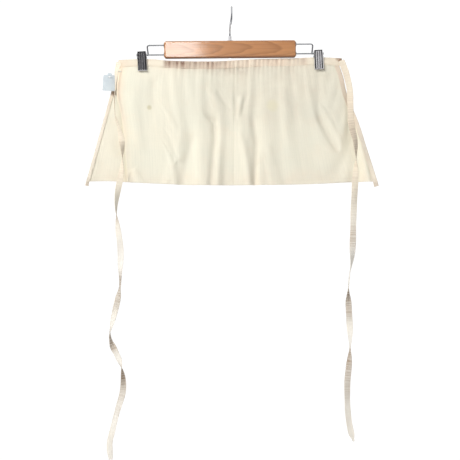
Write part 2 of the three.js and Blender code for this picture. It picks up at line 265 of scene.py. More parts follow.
def turned(name, profile, centre, axis, material, slot, sides=40):
    """A lathe-turned piece: profile is [radius, place along the axis], closed on itself."""
    profile = np.array(profile, float)
    flat = profile[:, None, :1] * circle(1, sides)[None]
    along = np.broadcast_to(profile[:, None, 1:], flat[..., :1].shape)
    local = np.concatenate([flat, along], axis=-1)
    order = {"x": (2, 0, 1), "y": (1, 2, 0), "z": (0, 1, 2)}[axis]
    points = local[..., order] + np.array(centre)
    return faced_outward(object_from(name, points, ring_faces(len(profile), sides), material, slot))


def ring_faces(rings, sides):
    """Quads of a ring whose rows and columns both close on themselves."""
    faces = []
    for r in range(rings):
        for c in range(sides):
            a, b, d = r * sides, ((r + 1) % rings) * sides, (c + 1) % sides
            faces.append((a + c, a + d, b + d, b + c))
    return faces


def apply_modifiers(piece):
    """The piece again, with its modifiers made part of its mesh."""
    graph = bpy.context.evaluated_depsgraph_get()
    mesh = bpy.data.meshes.new_from_object(piece.evaluated_get(graph))
    piece.modifiers.clear()
    piece.data = mesh
    return piece


def sharpened(piece, degrees):
    """Smooth shading with the edges above an angle kept sharp."""
    piece.data.shade_smooth()
    piece.data.set_sharp_from_angle(angle=math.radians(degrees))
    return piece


def thickened(piece, thickness):
    """A sheet made solid and smoothed, with its cut edges kept crisp."""
    solid = piece.modifiers.new("thickness", "SOLIDIFY")
    solid.thickness, solid.offset = thickness, 0
    solid.edge_crease_outer = solid.edge_crease_inner = solid.edge_crease_rim = 1.0
    soft = piece.modifiers.new("soft", "SUBSURF")
    soft.levels = soft.render_levels = 1
    return sharpened(apply_modifiers(piece), 60)


def joined(name, pieces):
    """One object out of several, which all have the same material."""
    merged = bmesh.new()
    for piece in pieces:
        merged.from_mesh(piece.data)
    mesh = bpy.data.meshes.new(name)
    merged.to_mesh(mesh)
    merged.free()
    mesh.materials.append(pieces[0].data.materials[0])
    made = in_scene(name, mesh)
    made["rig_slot"] = pieces[0]["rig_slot"]
    for piece in pieces:
        bpy.data.objects.remove(piece)
    return made


def reshaped(piece, change):
    """The piece again, with a function applied to all its points."""
    places = np.array([v.co for v in piece.data.vertices])
    piece.data.vertices.foreach_set("co", change(places).ravel())
    return piece


def drilled(piece, drills):
    """The piece again, with the drills cut out of it and then thrown away."""
    for drill in drills:
        cut = piece.modifiers.new("cut", "BOOLEAN")
        cut.operation, cut.object, cut.solver = "DIFFERENCE", drill, "EXACT"
    apply_modifiers(piece)
    for drill in drills:
        bpy.data.objects.remove(drill)
    return piece


# ---- Materials ----
class Nodes:
    """A node tree, with a short call for each kind of node."""

    def __init__(self, tree):
        self.tree = tree

    def set(self, node, values):
        for key, value in values.items():
            if isinstance(value, bpy.types.NodeSocket):
                self.tree.links.new(value, node.inputs[key])
            else:
                node.inputs[key].default_value = value
        return node

    def node(self, kind, values=None, **settings):
        made = self.tree.nodes.new("ShaderNode" + kind)
        for key, value in settings.items():
            setattr(made, key, value)
        return self.set(made, values or {})

    def place(self, scale=(1, 1, 1), turn=(0, 0, 0)):
        source = self.node("TexCoord").outputs["Object"]
        values = {"Vector": source, "Scale": scale, "Rotation": turn}
        return self.node("Mapping", values).outputs["Vector"]

    def parts(self, vector):
        return self.node("SeparateXYZ", {"Vector": vector}).outputs

    def tint(self, name):
        """A number that the mesh carries at each point."""
        return self.node("Attribute", attribute_name=name).outputs["Fac"]

    def noise(self, vector, scale, detail, roughness=0.55):
        values = {"Vector": vector, "Scale": scale, "Detail": detail, "Roughness": roughness}
        return self.node("TexNoise", values).outputs["Fac"]

    def ramp(self, fac, stops):
        made = self.node("ValToRGB", {"Fac": fac})
        elements = made.color_ramp.elements
        while len(elements) < len(stops):
            elements.new(0.5)
        for element, (place, color) in zip(elements, stops):
            element.position = place
            element.color = (*color, 1)
        return made.outputs["Color"]

    def math(self, operation, a, b=0.0, c=0.0):
        return self.node("Math", {0: a, 1: b, 2: c}, operation=operation).outputs[0]

    def range(self, value, low, high, to_low=0.0, to_high=1.0, kind="SMOOTHSTEP"):
        values = {0: value, 1: low, 2: high, 3: to_low, 4: to_high}
        return self.node("MapRange", values, interpolation_type=kind).outputs[0]

    def mix(self, fac, a, b, blend="MIX"):
        made = self.node("Mix", data_type="RGBA", blend_type=blend)
        self.set(made, {0: fac})
        for index, value in ((6, a), (7, b)):
            if isinstance(value, bpy.types.NodeSocket):
                self.tree.links.new(value, made.inputs[index])
            else:
                made.inputs[index].default_value = (*value, 1)
        return made.outputs[2]

    def bump(self, height, distance, strength):
        values = {"Height": height, "Distance": distance, "Strength": strength}
        return self.node("Bump", values).outputs["Normal"]


class Shader(Nodes):
    """A material about its Principled BSDF."""

    def __init__(self, name, color, roughness, metallic=0.0, **more):
        self.material = bpy.data.materials.new(name)
        self.material.use_nodes = True
        self.material.diffuse_color = (*color, 1)
        super().__init__(self.material.node_tree)
        self.surface = self.tree.nodes["Principled BSDF"]
        self.set(self.surface, {"Base Color": (*color, 1), "Roughness": roughness, "Metallic": metallic})
        self.set(self.surface, more)

    def finish(self, **values):
        self.set(self.surface, {key.replace("_", " "): value for key, value in values.items()})
        return self.material


def plated_material(name, color, low, high, metallic=1.0):
    """Bright plating with faint wipe marks and small pits."""
    s = Shader(name, color, 0.2, metallic)
    cloud = s.noise(s.place(), 90, 5)
    fine = s.noise(s.place((1, 1, 0.15)), 2600, 2)
    tone = s.ramp(cloud, [(0.3, [c * 0.86 for c in color]), (0.7, color)])
    rough = s.math("ADD", s.range(cloud, 0.3, 0.75, low, high), s.range(fine, 0.4, 0.8, 0, 0.06))
    return s.finish(Base_Color=tone, Roughness=rough, Normal=s.bump(fine, 0.00002, 0.15))


def zinc_material():
    s = Shader("zinc_plate", (0.55, 0.56, 0.57), 0.42, 1.0)
    grain = s.noise(s.place(), 900, 4)
    cloud = s.noise(s.place(), 140, 3)
    tone = s.ramp(cloud, [(0.3, (0.42, 0.42, 0.42)), (0.7, (0.62, 0.63, 0.64))])
    rough = s.range(grain, 0.3, 0.7, 0.32, 0.52)
    return s.finish(Base_Color=tone, Roughness=rough, Normal=s.bump(grain, 0.00003, 0.6))


RING_AXIS_DOWN, RING_AXIS_FRONT = 0.083, 0.032
RING_SWAY = 0.026
RINGS_PER_METRE = 290


def wood_material():
    """Flat-sawn wood: growth rings about an axis that runs slantwise in front of the bar make arches."""
    varnish = {"Coat Weight": 0.55, "Coat Roughness": 0.085}
    s = Shader("varnished_wood", (0.45, 0.21, 0.10), 0.36, 0.0, **varnish)
    parts = s.parts(s.place(turn=(0, math.radians(1.2), math.radians(3.4))))
    sway = s.noise(s.place((7, 22, 22)), 1.4, 3)
    swayed = s.math("MULTIPLY_ADD", sway, RING_SWAY, -RING_SWAY / 2)
    high = s.math("ADD", swayed, s.math("ADD", parts["Z"], RING_AXIS_DOWN))
    deep = s.math("ADD", parts["Y"], RING_AXIS_FRONT)
    reach = s.math("SQRT", s.math("ADD", s.math("POWER", high, 2), s.math("POWER", deep, 2)))
    ring = s.math("FRACT", s.math("MULTIPLY", reach, RINGS_PER_METRE))
    early = s.ramp(ring, [(0.0, (0.05,) * 3), (0.5, (0.35,) * 3), (0.88, (1,) * 3), (1.0, (0.05,) * 3)])
    fibre = s.noise(s.place((6, 380, 380)), 1.0, 5, 0.65)
    pores = s.noise(s.place((22, 1500, 1500)), 1.0, 2)
    cloud = s.noise(s.place((6, 30, 30)), 1.0, 2)
    tone = s.ramp(fibre, [(0.25, (0.43, 0.183, 0.068)), (0.75, (0.56, 0.267, 0.106))])
    tone = s.mix(s.math("MULTIPLY", early, 0.5), tone, (0.21, 0.080, 0.028))
    tone = s.mix(s.range(pores, 0.6, 0.78, 0, 0.4), tone, (0.16, 0.065, 0.03))
    tone = s.mix(s.range(cloud, 0.4, 0.68, 0, 0.35), tone, (0.49, 0.26, 0.115))
    up = s.parts(s.place())["Z"]
    # Painted shade: the bar's lower edge and, more faintly, its top edge are darkened where they turn away
    # from the light.
    low_edge, top_edge = s.range(up, -0.0952, -0.0992, 0, 0.75), s.range(up, -0.0675, -0.0660, 0, 0.35)
    edge_shade = s.math("ADD", low_edge, top_edge)
    tone = s.mix(edge_shade, tone, (0.15, 0.062, 0.028))
    rough = s.range(fibre, 0.2, 0.8, 0.30, 0.46)
    height = s.math("ADD", s.math("MULTIPLY", fibre, 0.5), s.math("MULTIPLY", pores, -0.5))
    return s.finish(Base_Color=tone, Roughness=rough, Normal=s.bump(height, 0.00012, 0.5))


def weave(s, cloth, pitch):
    """Height of a plain weave: warp and weft threads that pass over each other in turn."""
    turn = math.pi / pitch
    across = s.math("SINE", s.math("MULTIPLY", cloth["X"], turn))
    down = s.math("SINE", s.math("MULTIPLY", cloth["Y"], turn))
    over = s.math("GREATER_THAN", s.math("MULTIPLY", across, down), 0.0)
    warp = s.math("MULTIPLY", s.math("ABSOLUTE", across), over)
    weft = s.math("MULTIPLY", s.math("ABSOLUTE", down), s.math("SUBTRACT", 1.0, over))
    return s.math("ADD", warp, weft)


THREAD_PITCH = 0.55 * MM
# The brown that painted shade darkens the cloth towards.
SHADE_PAINT_BROWN = (0.25, 0.155, 0.115)
# The brown that painted shade on the ties darkens towards.
TIE_SHADE_PAINT = (0.27, 0.175, 0.10)
YELLOWED = (0.865, 0.80, 0.635)
BLUSHED = (0.86, 0.68, 0.53)


def cotton_material(name, light, shade, rib, marks=(), shade_paint=SHADE_PAINT_BROWN, yellowed=None):
    """Unbleached cotton: a plain weave with slubs along the warp and soft marks.

    Its meshes carry two tints: a painted shade, brown, in the gathers, creases and twists, and blush, a peach
    tone along folds.
    The cloth is yellowed between the two heights given, if any, and more so towards the second.
    """
    nap = {"Sheen Weight": 0.12, "Sheen Roughness": 0.5, "Specular IOR Level": 0.2}
    s = Shader(name, light, 0.88, 0.0, **nap)
    cloth_uv = s.node("TexCoord").outputs["UV"]
    threads = weave(s, s.parts(cloth_uv), THREAD_PITCH)
    slub = s.noise(s.node("Mapping", {"Vector": cloth_uv, "Scale": (520, 12, 1)}).outputs[0], 1.0, 3, 0.6)
    cross = s.noise(s.node("Mapping", {"Vector": cloth_uv, "Scale": (14, 600, 1)}).outputs[0], 1.0, 2, 0.6)
    cloud = s.noise(s.place(), 9, 3)
    blotch = s.noise(s.place(), 34, 4, 0.6)
    tone = s.mix(s.range(cloud, 0.38, 0.66), light, shade)
    tone = s.mix(s.range(slub, 0.35, 0.8, 0, 0.38 * rib), tone, [c * 0.84 for c in shade])
    tone = s.mix(s.range(cross, 0.4, 0.8, 0, 0.14), tone, [c * 0.88 for c in shade])
    if yellowed:
        tone = s.mix(s.range(s.parts(s.place())["Z"], *yellowed, 0, 0.8), tone, YELLOWED)
    warm = (light[0] * 0.99, light[1] * 0.90, light[2] * 0.85)
    tone = s.mix(s.range(blotch, 0.5, 0.75, 0, 0.18), tone, warm)
    blushed = s.math("MULTIPLY", s.tint("blush"), s.range(blotch, 0.25, 0.6, 0.45, 1))
    tone = s.mix(blushed, tone, BLUSHED)
    # The first tint mixes in painted shade, a brown darkening that stands in for shade in the folds.
    shade_paint_share = s.math("MULTIPLY", s.tint("grime"), s.range(blotch, 0.25, 0.65, 0.6, 1))
    tone = s.mix(shade_paint_share, tone, shade_paint)
    for x, z, size, strength, color in marks:
        centre = s.node("CombineXYZ", {"X": x, "Z": z}).outputs[0]
        flat = s.node("VectorMath", {0: s.place(), 1: (1, 0, 1)}, operation="MULTIPLY").outputs[0]
        far = s.node("VectorMath", {0: flat, 1: centre}, operation="DISTANCE").outputs["Value"]
        ragged = s.math("ADD", far, s.math("MULTIPLY_ADD", blotch, size * 1.2, -size * 0.6))
        tone = s.mix(s.range(ragged, size * 1.25, size * 0.35, 0, strength), tone, color)
    rough = s.range(slub, 0.2, 0.8, 0.82, 0.94)
    height = s.math("ADD", s.math("MULTIPLY", threads, 0.6), s.math("MULTIPLY", slub, 0.9 * rib))
    return s.finish(Base_Color=tone, Roughness=rough, Normal=s.bump(height, 0.00016, 0.7))


def thread_material():
    s = Shader("sewing_thread", (0.80, 0.71, 0.58), 0.7, 0.0, **{"Sheen Weight": 0.2})
    twist = s.noise(s.place(), 1800, 3)
    tone = s.ramp(twist, [(0.3, (0.66, 0.56, 0.43)), (0.7, (0.86, 0.79, 0.66))])
    return s.finish(Base_Color=tone, Normal=s.bump(twist, 0.00006, 0.6))


def rubber_material():
    s = Shader("pad_rubber", (0.03, 0.03, 0.032), 0.75)
    grain = s.noise(s.place(), 1500, 3)
    tone = s.ramp(grain, [(0.3, (0.02, 0.02, 0.021)), (0.7, (0.055, 0.054, 0.054))])
    rough = s.range(grain, 0.3, 0.7, 0.66, 0.86)
    return s.finish(Base_Color=tone, Roughness=rough, Normal=s.bump(grain, 0.00006, 0.6))


def card_material():
    s = Shader("tag_card", (0.60, 0.65, 0.67), 0.72)
    pulp = s.noise(s.place(), 700, 5, 0.65)
    cloud = s.noise(s.place(), 60, 3)
    tone = s.ramp(cloud, [(0.3, (0.50, 0.555, 0.585)), (0.7, (0.585, 0.64, 0.66))])
    tone = s.mix(s.range(pulp, 0.55, 0.8, 0, 0.35), tone, (0.42, 0.47, 0.49))
    rough = s.range(pulp, 0.3, 0.7, 0.62, 0.8)
    return s.finish(Base_Color=tone, Roughness=rough, Normal=s.bump(pulp, 0.00005, 0.5))


def nylon_material():
    s = Shader("nylon_thread", (0.82, 0.84, 0.84), 0.32)
    streak = s.noise(s.place((1, 1, 0.2)), 900, 2)
    tone = s.ramp(streak, [(0.3, (0.74, 0.76, 0.76)), (0.7, (0.88, 0.89, 0.89))])
    rough = s.range(streak, 0.3, 0.7, 0.24, 0.42)
    return s.finish(Base_Color=tone, Roughness=rough)


CREAM = (0.838, 0.795, 0.650)
SAGE = (0.800, 0.775, 0.640)
TAPE_LIGHT = (0.83, 0.775, 0.655)
TAPE_SHADE = (0.74, 0.665, 0.53)
OLIVE = (0.53, 0.47, 0.25)
PALE_YELLOW = (0.76, 0.70, 0.42)
SHADOW_BROWN = (0.26, 0.135, 0.08)
# Marks on the cloth: x, z, radius in metres, strength and colour.
SKIRT_MARKS = [
    (-0.1665, -0.1975, 0.0055, 0.5, OLIVE),
    (0.080, -0.1965, 0.013, 0.28, PALE_YELLOW),
    # Painted shadow: a dark brown spot in the gap under the tag, at the top of the flap.
    (-0.2385, -0.1690, 0.0062, 0.85, SHADOW_BROWN),
]
# The same painted shadow on the binding.
EDGE_MARKS = [(-0.2365, -0.1680, 0.0075, 0.85, SHADOW_BROWN)]
# Painted shadow in the waistband's folded right end.
BAND_MARKS = [(0.2165, -0.1065, 0.0062, 0.85, SHADOW_BROWN), (0.2105, -0.1035, 0.0045, 0.5, SHADOW_BROWN)]

CHROME = plated_material("chrome_wire", (0.60, 0.61, 0.63), 0.12, 0.22)
CLIP_PLATE = plated_material("clip_chrome", (0.50, 0.49, 0.50), 0.09, 0.15)
# Painted reflection: pale and only partly metallic, so the ferrule shows bright without a light for it to
# reflect.
PAINTED_BRIGHT_NICKEL = plated_material("nickel_with_painted_reflection", (0.86, 0.86, 0.87), 0.3, 0.42, 0.45)
ZINC = zinc_material()
WOOD = wood_material()
COTTON = cotton_material("ribbed_cotton", CREAM, SAGE, 1.0, SKIRT_MARKS)
BAND_COTTON = cotton_material("waistband_cotton", CREAM, (0.78, 0.70, 0.56), 0.7, BAND_MARKS)
TAPE = cotton_material("binding_cotton", TAPE_LIGHT, TAPE_SHADE, 0.8, EDGE_MARKS)
TIE_CLOTH = cotton_material(
    "tie_cotton", (0.85, 0.82, 0.75), (0.805, 0.76, 0.67), 0.7, shade_paint=TIE_SHADE_PAINT, yellowed=(-0.50, -0.30)
)
THREAD = thread_material()
RUBBER = rubber_material()
CARD = card_material()
NYLON = nylon_material()

# ---- Ties: free flat cords, folded and edge-stitched strips that hang from the waistband's ends ----
TIE_WIDTH = 12.5 * MM
TIE_THICK = 1.3 * MM
# The routes of the ties' middle lines, in millimetres from the middle of the bar.
TIE_ROUTES = {
    "left": [
        [-222, -4.0, -107], [-224, -4.6, -116], [-226, -10.6, -127], [-228.5, -11.8, -158],
        [-231, -11.6, -178], [-230.5, -11.6, -210], [-225, -12.5, -230], [-219.5, -13.5, -252],
        [-216, -14.0, -276], [-217, -14.0, -320], [-226, -14.0, -366], [-229.5, -13.0, -400],
        [-226, -12.0, -440], [-221.5, -11.5, -482], [-222.5, -10.5, -524], [-223.5, -9.5, -554],
        [-229, -8.5, -584], [-237, -8.0, -616], [-244.5, -8.0, -646], [-242, -9.0, -666],
        [-233, -9.5, -686], [-224.5, -10.0, -706], [-219, -10.0, -736], [-220, -9.5, -766],
        [-230, -9.0, -800], [-240, -8.5, -838], [-247, -8.0, -868], [-245, -8.0, -900],
    ],
    "right": [
        [222, -4.0, -107], [226, -4.8, -118], [232, -6.5, -136], [238, -8.5, -166],
        [239, -10.5, -200], [240.5, -12.0, -236], [248, -13.0, -270], [249, -13.5, -306],
        [247, -14.0, -342], [245, -13.5, -380], [243, -12.5, -416], [241.5, -11.5, -464],
        [239.5, -11.0, -502], [234, -10.0, -538], [231.5, -9.5, -574], [233, -9.0, -618],
        [234.5, -9.0, -650], [233.5, -9.0, -690], [231, -9.5, -722], [228, -9.5, -752],
        [228, -9.0, -794], [230, -8.5, -822], [234, -8.0, -846], [240, -8.0, -868],
    ],
}
# How each tie is turned about its own line: height in millimetres, degrees.
TIE_TWISTS = {
    "left": [
        (-107, -20), (-120, -38), (-138, -62), (-232, -64), (-250, -40), (-262, 0), (-276, 40),
        (-298, 90), (-344, 180), (-408, 270), (-462, 360), (-500, 350), (-532, 300), (-558, 290),
        (-586, 360), (-608, 340), (-630, 310), (-648, 270), (-666, 240), (-680, 180), (-700, 160),
        (-718, 90), (-740, 40), (-766, 0), (-900, 0),
    ],
    "right": [
        (-107, 0), (-236, 0), (-306, 90), (-324, 130), (-360, 180), (-478, 180), (-516, 250),
        (-532, 265), (-556, 270), (-574, 240), (-596, 180), (-620, 180), (-646, 150), (-666, 115),
        (-682, 95), (-702, 130), (-716, 160), (-734, 180), (-868, 180),
    ],
}
# Stretches of each tie that are wrinkled and darkened by painted shade at their twists: height in
# millimetres, strength.
TIE_SHADE = {
    "left": [
        (-107, 0.10), (-150, 0.16), (-250, 0.24), (-340, 0.22), (-396, 0.08), (-410, 0.55),
        (-428, 0.18), (-470, 0.06), (-520, 0.10), (-540, 0.80), (-562, 0.66), (-590, 0.34),
        (-610, 0.05), (-638, 0.10), (-652, 0.62), (-676, 0.52), (-692, 0.05), (-710, 0.12),
        (-721, 0.98), (-738, 0.76), (-762, 0.34), (-806, 0.20), (-836, 0.04), (-900, 0.0),
    ],
    "right": [
        (-107, 0.08), (-190, 0.20), (-254, 0.36), (-300, 0.32), (-350, 0.24), (-438, 0.34),
        (-456, 0.52), (-478, 0.34), (-492, 0.03), (-554, 0.05), (-568, 0.78), (-590, 0.55),
        (-618, 0.34), (-634, 0.02), (-674, 0.02), (-688, 0.80), (-716, 0.70), (-740, 0.42),
        (-768, 0.28), (-792, 0.04), (-868, 0.0),
    ],
}
TIE_TAPER = {"left": 0.35, "right": 0.72}  # how much narrower each tie's turned-in end is
TIE_STEP = 1.3 * MM  # between the rings of a tie
TIE_SEAM = 0.66  # where a tie's stitching runs, as a share of the half width
WRINKLE_PITCH = 4.4 * MM
STITCH_SIDES = 6


def tie_section():
    """A flat strip with round edges, dished a little and pinched along each line of stitching."""
    half, thick = TIE_WIDTH / 2, TIE_THICK / 2
    face = np.linspace(-0.88, 0.88, 9)
    pinch = 1 - 0.34 * bell(np.abs(face) - TIE_SEAM, 0.12)
    top = [(half * a, thick * p) for a, p in zip(face, pinch)]
    edge = [(half * 0.96, thick * 0.75), (half, 0), (half * 0.96, -thick * 0.75)]
    under = [(a, -b) for a, b in reversed(top)]
    return top + edge + under + [(-a, -b) for a, b in edge]


def stitch_mesh(places, ways, ups, length, radius):
    """Points and faces of short threads, each an arch that dips into the cloth at both ends."""
    stations = np.array([-0.5, -0.36, 0.0, 0.36, 0.5])
    rise = np.array([-0.9, 0.25, 0.55, 0.25, -0.9])
    size = np.array([0.55, 0.95, 1.0, 0.95, 0.55])
    ring = circle(1.0, STITCH_SIDES)
    places, ways, ups = (np.asarray(a, float) for a in (places, unit(ways), unit(ups)))
    crosses = np.cross(ways, ups)
    along = ways[:, None, None] * (stations * length)[None, :, None, None]
    lift = ups[:, None, None] * (rise * radius)[None, :, None, None]
    spokes = (crosses[:, None] * ring[None, :, :1] + ups[:, None] * ring[None, :, 1:])[:, None]
    spokes = spokes * (size * radius)[None, :, None, None]
    points = places[:, None, None] + along + lift + spokes
    per = len(stations) * STITCH_SIDES
    one = tube_faces(len(stations), STITCH_SIDES)
    faces = [tuple(i + k * per for i in face) for k in range(len(places)) for face in one]
    return points.reshape(-1, 3), faces


def stitches(name, runs, length, radius=0.2 * MM, pitch=3.4 * MM):
    """Rows of stitches in one piece: each run is a line of points and the surface's normals there."""
    points, faces = [], []
    for line, normals in runs:
        even = even_line(np.asarray(line, float), pitch)
        count = len(even)
        spread = np.linspace(0, 1, len(normals))
        ups = [np.interp(np.linspace(0, 1, count), spread, np.asarray(normals)[:, k]) for k in range(3)]
        made, quads = stitch_mesh(even, np.gradient(even, axis=0), np.stack(ups, 1), length, radius)
        offset = sum(len(p) for p in points)
        points.append(made)
        faces += [tuple(i + offset for i in face) for face in quads]
    piece = object_from(name, np.vstack(points), faces, THREAD, "tie_tape")
    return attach(faced_outward(piece), "apron")


def tie_values(knots, line):
    """A smooth value for each point of a tie's line, from (height in millimetres, value) knots."""
    return through([(-z, value) for z, value in knots], -line[:, 2] / MM)


def tie_frames(side, line):
    """The way across the tie and the way out of its face, at each point of its line."""
    tangents = unit(np.gradient(line, axis=0))
    base = -unit(np.cross(tangents, [0, 1, 0]))
    base = np.where(base[:, :1] < 0, -base, base)
    out = np.cross(base, tangents)
    turn = np.radians(tie_values(TIE_TWISTS[side], line))[:, None]
    sides = base * np.cos(turn) + out * np.sin(turn)
    return sides, np.cross(tangents, sides)


def add_tie(side):
    """One tie and the stitching near both its edges."""
    route = np.array(TIE_ROUTES[side], float) * MM + [MID_X, 0, 0]
    line = even_line(smooth_line(route, 12), TIE_STEP)
    sides, ups = tie_frames(side, line)
    along = np.linspace(0, 1, len(line))
    # How wrinkled each stretch is, and how much painted shade it gets at its twists.
    shade_paint = np.clip(tie_values(TIE_SHADE[side], line), 0, 1)
    folds = np.arange(len(line)) * TIE_STEP / WRINKLE_PITCH * 2 * math.pi
    folds = np.sin(folds + 1.6 * np.sin(folds * 0.23) + 1.1 * np.sin(folds * 0.41 + 2))
    width = 1 + 0.05 * np.sin(along * 61) * np.sin(along * 23 + 1) - 0.05 * shade_paint * folds
    width *= 1 - TIE_TAPER[side] * smoothstep(0.975, 1.0, along)
    dish = 0.55 * MM * np.sin(along * 17 + (side == "right")) + 0.25 * MM * np.sin(along * 43)
    ripple = 0.40 * MM * shade_paint * folds

    def bowed(share):
        """How far the tie's middle layer stands out at a share of its half width."""
        return dish[:, None] * (share**2 - 0.4) + ripple[:, None] * (1 - 0.5 * np.abs(share))

    section = np.array(tie_section())
    across = section[:, 0] * width[:, None]
    rise = section[:, 1] + bowed(section[:, 0] / TIE_WIDTH * 2)
    rings = line[:, None] + sides[:, None] * across[..., None] + ups[:, None] * rise[..., None]
    count = len(section)
    uv = np.stack(np.broadcast_arrays(section[None, :, 0], along[:, None] * 0.8), axis=-1)
    # Painted shade, darker in the wrinkles' folds.
    wrinkle_shade = np.clip(shade_paint * (0.95 + 0.38 * folds), 0, 1)
    yellowed = 0.26 * falling(0.27, 0.36, along) + 0.03
    tints = {"grime": np.repeat(wrinkle_shade, count), "blush": np.repeat(yellowed, count)}
    faces = tube_faces(len(line), count)
    tie = object_from(side + "_tie_strip", rings, faces, TIE_CLOTH, "tie_tape", uv, tints=tints)
    faced_outward(tie)
    smoother = tie.modifiers.new("round", "SUBSURF")
    smoother.levels = smoother.render_levels = 1
    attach(tie, "apron")
    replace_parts(tie, side + "_tie")
    runs = []
    for edge in (-TIE_SEAM, TIE_SEAM):
        for face in (-1, 1):
            off = sides * (edge * TIE_WIDTH / 2 * width)[:, None]
            out = ups * (bowed(np.array([edge])) + face * TIE_THICK * 0.36)
            runs.append(((line + off + out)[3:-3], (ups * face)[3:-3]))
    sewn = stitches(side + "_tie_stitching", runs, 2.0 * MM, 0.17 * MM, 3.1 * MM)


add_tie("left")
add_tie("right")


# ---- Hanger: hook, ferrule, bar and wire arms ----
WIRE_R = 1.5 * MM
HOOK_R = 21.5 * MM
HOOK_TIP_DEG = -28
HOOK_BACK_DEG = 202
BAR_TOP = BAR_HIGH.z
BAR_BOTTOM = BAR_LOW.z
BAR_MID = (BAR_TOP + BAR_BOTTOM) / 2
END_LEG_TOP, END_LEG_BOTTOM = 166 * MM, 163.6 * MM  # how far the arm's end leg is from the bar's middle
END_LEG_SLOPE = 2.4 / 19.1
ARM_BEND = 5 * MM
HOOK_BORE_R = 1.85 * MM
SOCKET_R = 6.5 * MM  # for the nut, from under the bar
LEG_BORE_R = 3.1 * MM


def add_hook():
    """The hook's wire, from the nut under the bar over the crown to its tip at the back."""
    middle = WIRE_R - HOOK_R

    def on_round(degrees):
        angle = math.radians(degrees)
        return [HOOK_R * math.cos(angle), middle + HOOK_R * math.sin(angle)]

    front_y, front_z = on_round(HOOK_BACK_DEG)
    bend = np.array([[0, -56 * MM], [0, -45 * MM], [front_y + 6 * MM, front_z - 13 * MM], [front_y, front_z]])
    t = np.linspace(0, 1, 7)[:, None]
    shares = ((1 - t) ** 3, 3 * t * (1 - t) ** 2, 3 * t**2 * (1 - t), t**3)
    neck = sum(share * point for share, point in zip(shares, bend))
    stem = [[0, BAR_BOTTOM + 2.5 * MM], [0, -80 * MM], [0, BAR_TOP]]
    crown = [on_round(d) for d in range(HOOK_BACK_DEG - 16, HOOK_TIP_DEG, -16)]
    flat = np.array([*stem, *neck, *crown, on_round(HOOK_TIP_DEG)])
    lean = MID_X * (1 - smoothstep(-46 * MM, -14 * MM, flat[:, 1]))
    route = np.column_stack([lean, flat])
    line = even_line(smooth_line(route, 10), 1.2 * MM)
    hook = wire("hook", line, WIRE_R, (1, 0, 0), CHROME, "chrome_wire", 20)
    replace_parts(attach(hook, "hook"), "hook_wire")


def add_ferrule():
    """The turned collar that the hook comes up through."""
    profile = np.array([
        (1.85, 0), (5.1, 0), (5.4, 0.25), (5.4, 0.8), (5.0, 1.15), (3.5, 1.3), (3.1, 1.7), (3.0, 2.4),
        (3.0, 8.0), (2.9, 8.8), (2.6, 9.25), (2.2, 9.4), (1.85, 9.4),
    ])
    centre = (MID_X, 0, BAR_TOP + 0.15 * MM)
    ferrule = turned("ferrule", profile * MM, centre, "z", PAINTED_BRIGHT_NICKEL, "chrome_wire")
    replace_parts(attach(sharpened(ferrule, 50), "bar"), "hook_ferrule")


def rounded_outline(half_x, half_z, radius):
    """A rectangle about its middle, with its corners rounded."""
    points = []
    for right, up, start in ((1, 1, 0), (-1, 1, 90), (-1, -1, 180), (1, -1, 270)):
        x, z = right * (half_x - radius), up * (half_z - radius)
        for angle in np.radians(np.linspace(start, start + 90, 8)):
            points.append((x + radius * math.cos(angle), z + radius * math.sin(angle)))
    return points


def drill(name, centre, radius, length, axis):
    """A cylinder to cut a hole with; its cut has the look of the piece's own wall."""
    ring = [(0, -length / 2), (radius, -length / 2), (radius, length / 2), (0, length / 2)]
    made = turned(name, ring, centre, axis, WOOD, "wood", 32)
    cleaned = bmesh.new()
    cleaned.from_mesh(made.data)
    bmesh.ops.remove_doubles(cleaned, verts=cleaned.verts, dist=1e-6)
    bmesh.ops.recalc_face_normals(cleaned, faces=cleaned.faces)
    cleaned.to_mesh(made.data)
    cleaned.free()
    return made


def add_bar():
    """The bar: a block with rounded corners and eased edges, drilled for the hook and the arms."""
    half_x, half_y, half_z = (BAR_HIGH.x - BAR_LOW.x) / 2, BAR_HIGH.y, (BAR_TOP - BAR_BOTTOM) / 2
    edge, corner = 2.2 * MM, 4.5 * MM
    rings = []
    for turn in np.radians(np.linspace(0, 90, 7)):
        rings.append((edge * (1 - math.sin(turn)), half_y - edge * (1 - math.cos(turn))))
    rings.insert(0, (edge + 0.4 * MM, half_y))
    stations = [(i, -d) for i, d in rings] + [(i, d) for i, d in reversed(rings)]
    points = []
    for inset, y in stations:
        outline = rounded_outline(half_x - inset, half_z - inset, corner - inset * 0.6)
        points += [(MID_X + x, y, BAR_MID + z) for x, z in outline]
    count = len(points) // len(stations)
    faces = tube_faces(len(stations), count)
    bar = faced_outward(object_from("wooden_bar", points, faces, WOOD, "wood"))
    tools = [
        drill("drill_hook", (MID_X, 0, BAR_MID), HOOK_BORE_R, 60 * MM, "z"),
        drill("drill_socket", (MID_X, 0, BAR_BOTTOM + 3 * MM), SOCKET_R, 18 * MM, "z"),
    ]
    for side in (-1, 1):
        for leg in ("upper", "lower"):
            low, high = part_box(("left_" if side < 0 else "right_") + leg + "_bush")
            centre = (MID_X + side * (half_x - 43 * MM), 0, (low.z + high.z) / 2)
            tools.append(drill(f"drill_{leg}_{side}", centre, LEG_BORE_R, 90 * MM, "x"))
    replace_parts(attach(sharpened(drilled(bar, tools), 40), "bar"), "hanger_bar")


